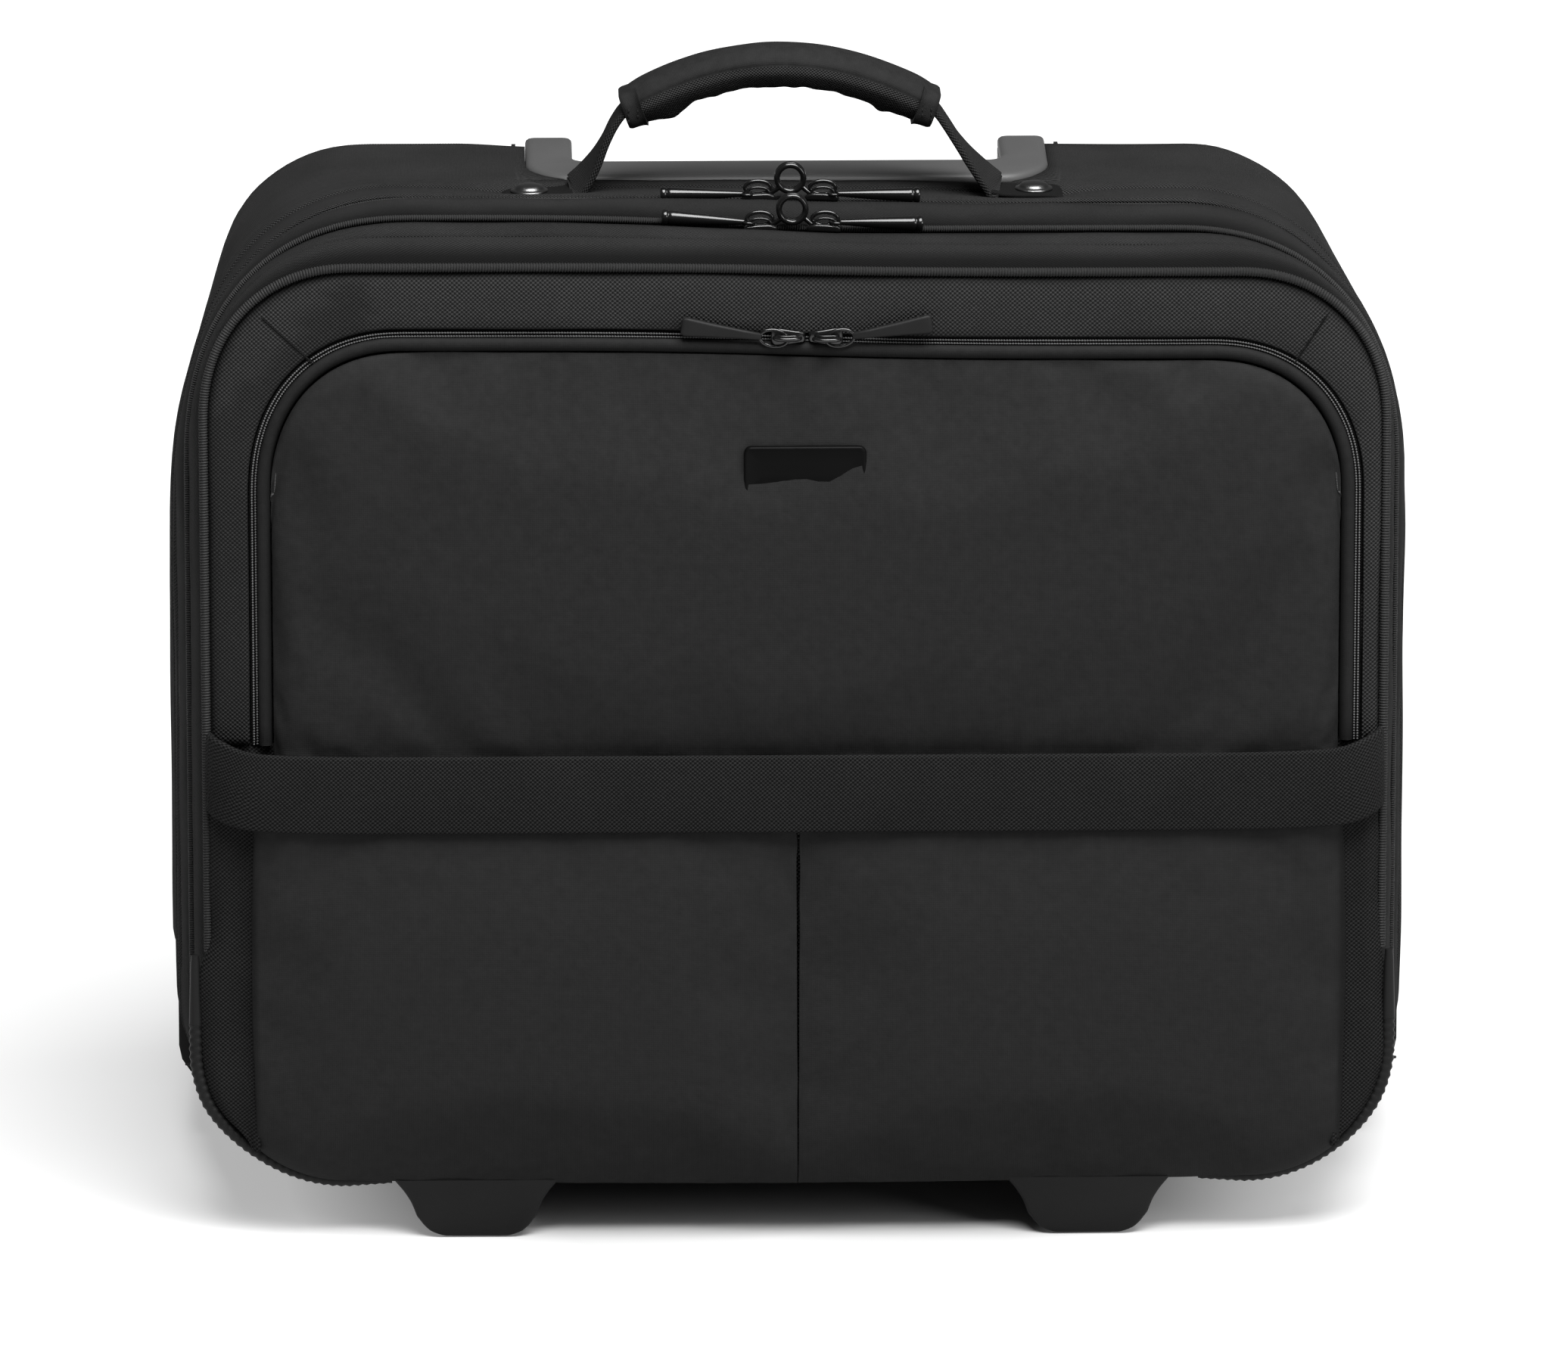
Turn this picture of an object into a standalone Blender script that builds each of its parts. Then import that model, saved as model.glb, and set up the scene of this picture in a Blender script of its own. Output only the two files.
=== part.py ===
"""Pilot rolling flight case: a soft case in three zipped sections on two wheels.

Metres. X points to the right, Y to the back and Z up. The origin is on the floor, under the
middle of the case. The front section, with its flap pocket and lower pocket, and the middle
section each fold down about their bottom edge. A two-stage trolley handle stands at the back.
"""
import math

import bmesh
import bpy
from mathutils import Vector

GAP = 0.0004

# Soft body: depth of its seams, from the front to the back
FRONT_WALL = -0.0875
FRONT_EDGE = -0.0825
PIPING_FRONT = -0.0878
ZIP_B = -0.034
ZIP_A = -0.001
BACK_EDGE = 0.0925
BACK_WALL = 0.0975
PIPING_BACK = 0.0978
PIPING_R = 0.0030
PIPING_LOW_FRONT = 0.1055
PIPING_LOW_BACK = 0.0800
GUARD_R = 0.0042
GUARD_Y = -0.0886
GUARD_TOP = 0.1040
GUARD_INNER_X = 0.1460
ZIP_TAPE = 0.011
BODY_BOTTOM = 0.0215
REAR_WALL = 0.0028
SHELL_WALL = 0.0025
ZIP_THICK = 0.0020
EDGE_ROLL = 0.0024
ZIP_END = 0.075

# Depth, half width, top, top corner width, height and roundness, bottom corner radius
STATIONS = (
    (-0.0850, 0.2082, 0.3527, 0.050, 0.052, 2.1, 0.048),
    (-0.0340, 0.2155, 0.3578, 0.080, 0.088, 2.3, 0.042),
    (-0.0010, 0.2205, 0.3590, 0.084, 0.105, 2.2, 0.040),
    (0.0500, 0.2240, 0.3592, 0.080, 0.135, 2.1, 0.040),
    (0.0950, 0.2240, 0.3588, 0.075, 0.140, 2.0, 0.040),
)
TOP_STEPS = 9
BOTTOM_STEPS = 6

# Front pocket with its flap, above the band
FLAP_HALF = 0.1880
FLAP_TOP = 0.3235
FLAP_BOTTOM = 0.1820
FLAP_CORNER = (0.046, 0.050, 2.2)
FLAP_FRONT = -0.0955
FLAP_THICK = 0.0040
FLAP_HINGE = (0.0, -0.0935, 0.1815)
ZIP_C_INNER = 0.0015
ZIP_C_OUTER = 0.0105
LINING_FRONT = -0.0640

# Lower pocket and band
POCKET_TOP = 0.170
POCKET_BACK = (-0.0900, 0.2035, 0.0255, 0.046)
POCKET_FRONT = (-0.0990, 0.1950, 0.0245, 0.038)
BAND_BOTTOM = 0.1525
BAND_HEIGHT = 0.0275
BAND_THICK = 0.0018
BAND_RISE = 0.004

# Trolley handle
TUBE_X = 0.0850
TUBE_Y = 0.0835
OUTER_TUBE = (0.0220, 0.0160, 0.0012)
MID_TUBE = (0.0186, 0.0126, 0.0011)
INNER_TUBE = (0.0152, 0.0092, 0.0010)
TUBE_CORNER = 0.0030
TUBE_TOP = 0.3460
RECESS_FLOOR = 0.3470
RECESS_HALF = 0.0995
RECESS_FRONT = 0.0280
BEZEL_WALL = 0.0015
BEZEL_TOP = 0.3580
GRIP_HALF = 0.0945
GRIP_FRONT = 0.0305
GRIP_BAR_DEPTH = 0.0265
GRIP_BACK = 0.0965
GRIP_ARM = 0.0170
GRIP_CORNER = (0.0190, 0.0240)
GRIP_INNER_CORNER = (0.0050, 0.0100)
GRIP_LOW = (0.3500, 0.0060)
GRIP_HIGH = (0.3563, 0.0047)
BUTTON_HALF = (0.0290, 0.0072, 0.0014)
BUTTON_PLACE = (0.0, 0.0440, 0.3504)
BUTTON_PLAY = 0.0008
LOCK_ROD = (0.0015, 0.285, 0.2025)

# Wheels at the back corners, feet at the front
WHEEL_R = 0.0335
WHEEL_Y = 0.0695
WHEEL_X = 0.1935
WHEEL_WIDTH = 0.0240
AXLE_R = 0.0030
AXLE_LENGTH = 0.042
HOUSING_INNER_X = 0.1685
HOUSING_FRONT = 0.0305
HOUSING_DEPTH = 0.0675
HOUSING_TOP = 0.0745
FOOT_X = 0.1093
FOOT_SHIFT = -0.0047
FOOT_HALF_TOP = 0.0295
FOOT_HALF_BOTTOM = 0.0160
FOOT_FRONT = -0.0920
FOOT_DEPTH = 0.0420

# Carry handle, a little left of the middle. Its leg is in distances from its own middle and
# heights above its hinge
HANDLE_X = -0.0035
HANDLE_Y = 0.0160
HANDLE_HINGE_Z = 0.3605
HANDLE_TOP = 0.4052
HANDLE_LEG = ((0.0712, 0.0022), (0.0690, 0.0045), (0.0655, 0.0100), (0.0626, 0.0163), (0.0594, 0.0230))
SLEEVE_HALF = 0.0553
SLEEVE_DROP = 0.0165
SLEEVE_SIZE = (0.0240, 0.0160)
SLEEVE_STEPS = 6
SLEEVE_SIDES = 12
WEBBING = (0.0200, 0.0026)
WEBBING_CLEAR = 0.0012
WEBBING_NARROWEST = 0.0008
RIVET_MIDDLE = -0.0027
RIVET_X = 0.0905
RIVET_Z = 0.3598
RIVET_DOME = ((0.0069, 0.0), (0.0069, 0.0009), (0.0058, 0.0013), (0.0050, 0.0021), (0.0028, 0.0027),
              (0.0, 0.0029))

# Zip sliders, along the zip from the point where a pair meets
SLIDER_START = 0.0055
SLIDER_LENGTH = 0.0120
SLIDER_HALF = 0.0017
SLIDER_HIGH = 0.0040
LUG_HALF = (0.0022, 0.0016)
LUG_TOP = 0.0052
PIVOT_X = 0.0140
PIVOT_UP = 0.0034
FORK_GAP = 0.0020
FORK_HALF = 0.0030
PULL_LENGTH = 0.0325
PULL_SECTIONS = ((0.0065, 0.0030, 0.0009), (0.0110, 0.0022, 0.0010), (0.0290, 0.0040, 0.0014),
                 (0.0315, 0.0040, 0.0013), (PULL_LENGTH, 0.0034, 0.0008))
RING_UP = 0.0078
RING_R = (0.00385, 0.00585)
RING_Y = 0.0012
RING_HALF = 0.0009
RING_STEPS = 20
ZIP_MAIN_MEET = (0.0, ZIP_A, 0.3594)
ZIP_LAPTOP_MEET = (0.0, ZIP_B, 0.3582)
ZIP_POCKET_MEET = (0.0040, -0.0894, 0.3295)

COLOURS = {
    "fabric": (0.030, 0.030, 0.031, 0.75, 0.0),
    "panel": (0.045, 0.045, 0.047, 0.70, 0.0),
    "lining": (0.10, 0.10, 0.11, 0.80, 0.0),
    "trim": (0.012, 0.012, 0.012, 0.45, 0.0),
    "gloss": (0.008, 0.008, 0.008, 0.15, 0.0),
    "grip": (0.090, 0.090, 0.095, 0.50, 0.0),
    "plastic": (0.020, 0.020, 0.021, 0.40, 0.0),
    "rubber": (0.015, 0.015, 0.015, 0.85, 0.0),
    "metal": (0.55, 0.55, 0.57, 0.30, 1.0),
    "rivet": (0.25, 0.25, 0.26, 0.25, 1.0),
}


# ------------------------------------------------------------------ scene and helpers

def clear_scene():
    """Leaves nothing in the scene."""
    for item in list(bpy.data.objects):
        bpy.data.objects.remove(item, do_unlink=True)


def new_collection(name):
    """A collection under the scene's own."""
    group = bpy.data.collections.new(name)
    bpy.context.scene.collection.children.link(group)
    return group


def make_materials():
    """A plain material for each colour."""
    made = {}
    for name, (red, green, blue, rough, metal) in COLOURS.items():
        material = bpy.data.materials.new(name)
        material.use_nodes = True
        shader = material.node_tree.nodes["Principled BSDF"]
        shader.inputs["Base Color"].default_value = (red, green, blue, 1.0)
        shader.inputs["Roughness"].default_value = rough
        shader.inputs["Metallic"].default_value = metal
        made[name] = material
    return made


def add_part(name, mesh, material, location=(0, 0, 0), rotation=(0, 0, 0)):
    """A piece of the case, with its material."""
    part = bpy.data.objects.new(name, mesh)
    part.location = location
    part.rotation_euler = rotation
    if not mesh.materials:
        mesh.materials.append(MATERIALS[material])
    CASE.objects.link(part)
    return part


def add_cutter(name, mesh, location=(0, 0, 0), rotation=(0, 0, 0)):
    """A hidden helper that other pieces are cut by or joined with."""
    cutter = bpy.data.objects.new(name, mesh)
    cutter.location = location
    cutter.rotation_euler = rotation
    cutter.hide_render = True
    cutter.display_type = 'WIRE'
    CUTTERS.objects.link(cutter)
    return cutter


def mesh_from(bm, name, closed=True):
    """A mesh from a working mesh, with its faces turned outwards where it is closed."""
    if closed:
        bmesh.ops.recalc_face_normals(bm, faces=bm.faces)
    mesh = bpy.data.meshes.new(name)
    bm.to_mesh(mesh)
    bm.free()
    return mesh


def box_mesh(name, low, high):
    """A box between two corners."""
    bm = bmesh.new()
    bmesh.ops.create_cube(bm, size=1.0)
    for vert in bm.verts:
        for axis in range(3):
            middle = (low[axis] + high[axis]) / 2
            vert.co[axis] = middle + vert.co[axis] * (high[axis] - low[axis])
    return mesh_from(bm, name)


def prism_mesh(name, outline, push):
    """A flat outline pushed straight along a vector."""
    bm = bmesh.new()
    face = bm.faces.new([bm.verts.new(point) for point in outline])
    pushed = bmesh.ops.extrude_face_region(bm, geom=[face])
    moved = [item for item in pushed["geom"] if isinstance(item, bmesh.types.BMVert)]
    bmesh.ops.translate(bm, verts=moved, vec=push)
    return mesh_from(bm, name)


def loft_mesh(name, rings, ring_closed=True, start_cap=False, end_cap=False):
    """A surface through rings of equal point count."""
    bm = bmesh.new()
    rows = [[bm.verts.new(point) for point in ring] for ring in rings]
    count = len(rows[0])
    for row, after in zip(rows, rows[1:]):
        for j in range(count if ring_closed else count - 1):
            k = (j + 1) % count
            bm.faces.new((row[j], after[j], after[k], row[k]))
    if start_cap:
        bm.faces.new(rows[0])
    if end_cap:
        bm.faces.new(reversed(rows[-1]))
    return mesh_from(bm, name, start_cap and end_cap)


def cylinder_mesh(name, radius, length, sides):
    """A cylinder centred on its own origin, along its own Z."""
    bm = bmesh.new()
    bmesh.ops.create_cone(bm, cap_ends=True, segments=sides, radius1=radius, radius2=radius, depth=length)
    return mesh_from(bm, name)


def profile_mesh(name, points):
    """A closed profile in the XZ plane for a Screw modifier."""
    mesh = bpy.data.meshes.new(name)
    edges = [(i, (i + 1) % len(points)) for i in range(len(points))]
    mesh.from_pydata([(x, 0.0, z) for x, z in points], edges, [])
    return mesh


def solidify(part, thickness):
    """Gives a surface a wall on its inner side."""
    shell = part.modifiers.new("wall", 'SOLIDIFY')
    shell.thickness = thickness
    shell.offset = -1.0
    shell.use_even_offset = True
    return shell


def bevel(part, width, segments=2):
    """Rounds a piece's sharp edges."""
    edge = part.modifiers.new("edges", 'BEVEL')
    edge.width = width
    edge.segments = segments
    edge.limit_method = 'ANGLE'
    return edge


def combine(part, other, operation):
    """Cuts a piece by a helper, or joins the helper to it."""
    step = part.modifiers.new(other.name, 'BOOLEAN')
    step.operation = operation
    step.object = other
    return step


def turn(part, sides):
    """Turns a profile about the piece's own Z."""
    screw = part.modifiers.new("turned", 'SCREW')
    screw.steps = sides
    screw.render_steps = sides
    screw.use_merge_vertices = True
    screw.merge_threshold = 0.00001
    return screw


def smooth(part, angle=35):
    """Smooth shading, except across sharp edges."""
    part.data.shade_smooth()
    part.data.set_sharp_from_angle(angle=math.radians(angle))


def baked_mesh(part, name):
    """The mesh of a part with its modifiers worked in."""
    depsgraph = bpy.context.evaluated_depsgraph_get()
    mesh = bpy.data.meshes.new_from_object(part.evaluated_get(depsgraph))
    mesh.name = name
    return mesh


# ------------------------------------------------------------------ body outline

def station_at(y):
    """Half width, top and corner sizes of the soft body at a depth."""
    if y <= STATIONS[0][0]:
        return STATIONS[0][1:]
    for near, far in zip(STATIONS, STATIONS[1:]):
        if y <= far[0]:
            share = (y - near[0]) / (far[0] - near[0])
            return tuple(a + (b - a) * share for a, b in zip(near[1:], far[1:]))
    return STATIONS[-1][1:]


def corner(width, height, power, steps):
    """Points from the side to the top of a quarter corner, from its own centre."""
    points = []
    for step in range(steps + 1):
        angle = math.pi / 2 * step / steps
        across = width * abs(math.cos(angle)) ** (2 / power)
        up = height * abs(math.sin(angle)) ** (2 / power)
        points.append((across, up))
    return points


def top_arc(y, low, inset=0.0):
    """(x, z) from the right side at a height, over the top, to the left side."""
    half, top, width, height, power, _ = station_at(y)
    right = [(half - inset, low)]
    for across, up in corner(width - inset, height - inset, power, TOP_STEPS):
        right.append((half - width + across, top - height + up))
    left = [(-x, z) for x, z in reversed(right)]
    return right + left


def bottom_arc(y, high, inset=0.0):
    """(x, z) from the left side at a height, under the bottom, to the right side."""
    half, _, _, _, _, radius = station_at(y)
    right = [(half - inset, high)]
    for across, down in corner(radius - inset, radius - inset, 2.0, BOTTOM_STEPS):
        right.append((half - radius + across, BODY_BOTTOM + radius - down))
    left = [(-x, z) for x, z in right]
    return left + list(reversed(right))


def body_ring(y, inset=0.0, at=None):
    """The whole outline of the soft body at a depth, as points in space."""
    level = 0.18
    points = bottom_arc(y, level, inset)[1:-1] + top_arc(y, level, inset)[1:-1]
    depth = y if at is None else at
    return [(x, depth, z) for x, z in points]


def flap_outline(offset, y, bottom=FLAP_BOTTOM):
    """The flap's outline, grown by an offset except along its bottom."""
    width, height, power = FLAP_CORNER
    right = [(FLAP_HALF + offset, bottom)]
    for across, up in corner(width + offset, height + offset, power, TOP_STEPS):
        right.append((FLAP_HALF - width + across, FLAP_TOP - height + up))
    left = [(-x, z) for x, z in reversed(right)]
    return [(x, y, z) for x, z in right + left]


def tube(name, points, radius, material):
    """A round cord through points, as a curve with filled ends."""
    curve = bpy.data.curves.new(name, 'CURVE')
    curve.dimensions = '3D'
    curve.bevel_depth = radius
    curve.bevel_resolution = 2
    curve.use_fill_caps = True
    spline = curve.splines.new('POLY')
    spline.points.add(len(points) - 1)
    for place, point in zip(spline.points, points):
        place.co = (*point, 1.0)
    curve.materials.append(MATERIALS[material])
    part = bpy.data.objects.new(name, curve)
    CASE.objects.link(part)
    return part


def strap(name, path, across, widths, thickness, material):
    """A flat strap along a path, wide along the across direction."""
    rings = []
    path = [Vector(point) for point in path]
    across = Vector(across)
    for i, point in enumerate(path):
        along = path[min(i + 1, len(path) - 1)] - path[max(i - 1, 0)]
        normal = across.cross(along).normalized() * thickness / 2
        side = across * widths[i] / 2
        rings.append([point + normal + side, point + normal - side])
        rings[-1] += [point - normal - side, point - normal + side]
    return add_part(name, loft_mesh(name, rings, True, True, True), material)


# ------------------------------------------------------------------ rear section

def make_rear_case():
    """The rear shell, with its recess and wheel rooms, its board, bracket and piping."""
    rings = [body_ring(ZIP_A + ZIP_TAPE / 2 + GAP)]
    rings += [body_ring(y) for y in (0.022, 0.050, 0.074, BACK_EDGE)]
    rings.append(body_ring(BACK_EDGE, 0.0023, BACK_EDGE + EDGE_ROLL))
    rings.append(body_ring(BACK_EDGE, 0.0050, BACK_WALL))
    shell = add_part("rear_shell", loft_mesh("rear_shell", rings, end_cap=True), "fabric")
    solidify(shell, REAR_WALL)
    reach = RECESS_HALF + 0.0005
    notch = box_mesh("trolley_notch", (-reach, RECESS_FRONT - 0.0005, RECESS_FLOOR - 0.0005), (reach, 0.12, 0.40))
    combine(shell, add_cutter("trolley_notch", notch), 'DIFFERENCE')
    for side, sign in (("left", -1), ("right", 1)):
        near = sorted((sign * (HOUSING_INNER_X - 0.001), sign * 0.260))
        low = (near[0], HOUSING_FRONT - 0.0005, -0.01)
        room = box_mesh("wheel_room_" + side, low, (near[1], 0.13, HOUSING_TOP + 0.001))
        combine(shell, add_cutter("wheel_room_" + side, room), 'DIFFERENCE')
    smooth(shell)
    board = box_mesh("inner_back_board", (-0.165, 0.0690, 0.0260), (0.165, 0.0710, 0.3440))
    add_part("inner_back_board", board, "lining")
    bracket = box_mesh("trolley_foot_bracket", (-0.102, 0.0745, 0.0255), (0.102, 0.0925, 0.0395))
    bevel(add_part("trolley_foot_bracket", bracket, "plastic"), 0.0015, 1)
    for side, sign in (("left", -1), ("right", 1)):
        half = [(x, z) for x, z in top_arc(BACK_EDGE, PIPING_LOW_BACK) if x > RECESS_HALF]
        half.append((RECESS_HALF + PIPING_R, half[-1][1]))
        tube("rear_piping_" + side, [(sign * x, PIPING_BACK, z) for x, z in half], PIPING_R, "trim")


def make_zip(name, strip_name, y, material):
    """The zip over the top and sides at a depth, and the fabric hinge under it."""
    depths = (y - ZIP_TAPE / 2, y, y + ZIP_TAPE / 2)
    over = [[(x, depth, z) for x, z in top_arc(depth, ZIP_END)] for depth in depths]
    coil = add_part(name, loft_mesh(name, over, ring_closed=False), material)
    solidify(coil, ZIP_THICK)
    smooth(coil)
    under = [[(x, depth, z) for x, z in bottom_arc(depth, ZIP_END - GAP)] for depth in depths]
    strip = add_part(strip_name, loft_mesh(strip_name, under, ring_closed=False), "fabric")
    solidify(strip, ZIP_THICK)
    smooth(strip)


# ------------------------------------------------------------------ trolley handle

def rectangle_ring(middle, size, z, radius):
    """A rounded rectangle across a tube, as points in space."""
    points = []
    half_x = size[0] / 2 - radius
    half_y = size[1] / 2 - radius
    for quarter, (sx, sy) in enumerate(((1, 1), (-1, 1), (-1, -1), (1, -1))):
        for step in range(3):
            angle = math.pi / 2 * (quarter + step / 2)
            x = middle[0] + sx * half_x + radius * math.cos(angle)
            y = middle[1] + sy * half_y + radius * math.sin(angle)
            points.append((x, y, z))
    return points


def make_tube_pair(name, size, low, high):
    """A hollow tube on each side, open at both ends."""
    for side, sign in (("left", -1), ("right", 1)):
        rings = [rectangle_ring((0, 0), size[:2], z, TUBE_CORNER) for z in (high, low)]
        part = add_part(name + "_" + side, loft_mesh(name, rings), "metal", (sign * TUBE_X, TUBE_Y, 0))
        solidify(part, size[2])


def grip_outline(z):
    """The grip in plan: a bar in front and an arm back to each tube."""
    inner = GRIP_HALF - GRIP_ARM
    bar_back = GRIP_FRONT + GRIP_BAR_DEPTH
    outer_middle = (GRIP_HALF - GRIP_CORNER[0], GRIP_FRONT + GRIP_CORNER[1])
    inner_middle = (inner - GRIP_INNER_CORNER[0], bar_back + GRIP_INNER_CORNER[1])
    right = []
    for across, forward in reversed(corner(*GRIP_CORNER, 2.0, 5)):
        right.append((outer_middle[0] + across, outer_middle[1] - forward))
    right += [(GRIP_HALF, GRIP_BACK), (inner, GRIP_BACK)]
    for across, forward in corner(*GRIP_INNER_CORNER, 2.0, 3):
        right.append((inner_middle[0] + across, inner_middle[1] - forward))
    left = [(-x, y) for x, y in reversed(right)]
    return [(x, y, z) for x, y in right + left]


def make_bezel():
    """The moulded tray that lines the recess, with a hole for each telescopic tube."""
    low = (-RECESS_HALF, RECESS_FRONT, RECESS_FLOOR)
    bezel = box_mesh("trolley_bezel", low, (RECESS_HALF, BACK_WALL - 0.0003, BEZEL_TOP))
    bezel = add_part("trolley_bezel", bezel, "plastic")
    low = tuple(edge + BEZEL_WALL for edge in low)
    room = box_mesh("bezel_room", low, (RECESS_HALF - BEZEL_WALL, 0.12, 0.40))
    combine(bezel, add_cutter("bezel_room", room), 'DIFFERENCE')
    for side, sign in (("left", -1), ("right", 1)):
        size = (MID_TUBE[0] + 0.001, MID_TUBE[1] + 0.001)
        rings = [rectangle_ring((sign * TUBE_X, TUBE_Y), size, z, TUBE_CORNER + GAP) for z in (0.34, 0.352)]
        hole = loft_mesh("tube_hole_" + side, rings, True, True, True)
        combine(bezel, add_cutter("tube_hole_" + side, hole), 'DIFFERENCE')


def make_trolley():
    """The tubes, the two halves of the grip, the release button and its lock rods."""
    make_bezel()
    make_tube_pair("outer_tube", OUTER_TUBE, 0.0400, TUBE_TOP)
    make_tube_pair("mid_tube", MID_TUBE, 0.0460, TUBE_TOP)
    make_tube_pair("inner_tube", INNER_TUBE, 0.0520, GRIP_LOW[0] - 0.0005)
    lower = prism_mesh("grip_lower", grip_outline(GRIP_LOW[0]), (0, 0, GRIP_LOW[1]))
    lower = add_part("grip_lower", lower, "grip")
    half_x, half_y, half_z = BUTTON_HALF
    room_x = half_x + BUTTON_PLAY
    room_y = (BUTTON_PLACE[1] - half_y - BUTTON_PLAY, BUTTON_PLACE[1] + half_y + BUTTON_PLAY)
    room = box_mesh("button_room", (-room_x, room_y[0], 0.34), (room_x, room_y[1], 0.36))
    combine(lower, add_cutter("button_room", room), 'DIFFERENCE')
    upper = prism_mesh("grip_upper", grip_outline(GRIP_HIGH[0]), (0, 0, GRIP_HIGH[1]))
    upper = add_part("grip_upper", upper, "grip")
    bevel(upper, 0.0014, 2)
    smooth(upper)
    button = box_mesh("release_button", (-half_x, -half_y, -half_z), BUTTON_HALF)
    bevel(add_part("release_button", button, "plastic", BUTTON_PLACE), 0.0008, 1)
    rod_r, rod_length, rod_z = LOCK_ROD
    for side, sign in (("left", -1), ("right", 1)):
        rod = cylinder_mesh("lock_rod_" + side, rod_r, rod_length, 8)
        add_part("lock_rod_" + side, rod, "metal", (sign * TUBE_X, TUBE_Y, rod_z))


# ------------------------------------------------------------------ wheels and feet

def make_housing(side, sign, centre):
    """The moulded corner housing of a wheel, with its well and the axle's bore."""
    outline = [(0.0, HOUSING_TOP), (0.0, BODY_BOTTOM + 0.001)]
    for across, down in reversed(corner(0.014, 0.014, 2.0, 4)):
        outline.append((0.0400 + across, 0.0365 - down))
    outline.append((0.0540, HOUSING_TOP))
    points = [(sign * (HOUSING_INNER_X + x), HOUSING_FRONT, z) for x, z in outline]
    housing = prism_mesh("wheel_housing_" + side, points, (0, HOUSING_DEPTH, 0))
    housing = add_part("wheel_housing_" + side, housing, "plastic")
    sideways = (0, math.pi / 2, 0)
    well = cylinder_mesh("wheel_well_" + side, WHEEL_R + 0.003, WHEEL_WIDTH + 0.006, 32)
    combine(housing, add_cutter("wheel_well_" + side, well, centre, sideways), 'DIFFERENCE')
    bore = cylinder_mesh("axle_bore_" + side, AXLE_R + 0.0003, AXLE_LENGTH + 0.001, 16)
    combine(housing, add_cutter("axle_bore_" + side, bore, centre, sideways), 'DIFFERENCE')


def turned_part(name, profile, material, centre):
    """A profile and its mirror image turned about an axle."""
    profile = profile + [(x, -z) for x, z in reversed(profile)]
    part = add_part(name, profile_mesh(name, profile), material, centre, (0, math.pi / 2, 0))
    turn(part, 32)
    smooth(part)


def make_wheel(side, sign):
    """A wheel in its moulded corner housing, on an axle held at both ends."""
    centre = (sign * WHEEL_X, WHEEL_Y, WHEEL_R)
    make_housing(side, sign, centre)
    axle = cylinder_mesh("axle_" + side, AXLE_R, AXLE_LENGTH, 16)
    smooth(add_part("axle_" + side, axle, "metal", centre, (0, math.pi / 2, 0)))
    half = WHEEL_WIDTH / 2
    tyre = [(0.0235, half - 0.002), (0.0310, half - 0.001), (0.0327, half - 0.003), (WHEEL_R, half - 0.007)]
    turned_part("tyre_" + side, tyre, "rubber", centre)
    hub = [(AXLE_R + 0.0004, half), (0.0080, half), (0.0095, half - 0.004), (0.0195, half - 0.005)]
    hub += [(0.0210, half - 0.002), (0.0231, half - 0.002)]
    turned_part("hub_" + side, hub, "grip", centre)


def make_foot(side, sign):
    """A flared moulded foot under the front section."""
    top = BODY_BOTTOM - GAP
    right = [(FOOT_HALF_BOTTOM - 0.003, 0.0), (FOOT_HALF_BOTTOM, 0.0012), (FOOT_HALF_BOTTOM + 0.003, 0.0070)]
    right += [(FOOT_HALF_BOTTOM + 0.0075, 0.0165), (FOOT_HALF_TOP - 0.002, 0.0198), (FOOT_HALF_TOP, top)]
    left = [(-x, z) for x, z in reversed(right)]
    outline = [(x, FOOT_FRONT, z) for x, z in right + left]
    foot = prism_mesh("foot_" + side, outline, (0, FOOT_DEPTH, 0))
    foot = add_part("foot_" + side, foot, "plastic", (sign * FOOT_X + FOOT_SHIFT, 0, 0))
    smooth(foot, 50)


# ------------------------------------------------------------------ carry handle

def sleeve_half():
    """Right half of the sleeve's middle line, from its end to its middle."""
    points = []
    for step in range(SLEEVE_STEPS + 1):
        x = SLEEVE_HALF * (1 - step / SLEEVE_STEPS)
        points.append((x, HANDLE_TOP - SLEEVE_DROP * (x / SLEEVE_HALF) ** 2))
    return points


def handle_half():
    """Right half of the webbing's line, from its base to the middle of the sleeve."""
    return [(x, HANDLE_HINGE_Z + up) for x, up in HANDLE_LEG] + sleeve_half()


def across_handle(half):
    """Both halves of a line over the handle, as points in space."""
    whole = [(-x, z) for x, z in half] + list(reversed(half))[1:]
    return [(HANDLE_X + x, HANDLE_Y, z) for x, z in whole]


def sleeve_rings():
    """Rounded sections of the sleeve across its middle line."""
    line = [Vector(point) for point in across_handle(sleeve_half())]
    rings = []
    for i, point in enumerate(line):
        along = line[min(i + 1, len(line) - 1)] - line[max(i - 1, 0)]
        up = Vector((0, 1, 0)).cross(along).normalized()
        up = up if up.z > 0 else -up
        ring = []
        for step in range(SLEEVE_SIDES):
            angle = 2 * math.pi * step / SLEEVE_SIDES
            across = abs(math.cos(angle)) ** 0.7 * math.copysign(SLEEVE_SIZE[0] / 2, math.cos(angle))
            out = abs(math.sin(angle)) ** 0.7 * math.copysign(SLEEVE_SIZE[1] / 2, math.sin(angle))
            ring.append(point + Vector((0, across, 0)) + up * out)
        rings.append(ring)
    return rings


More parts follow.
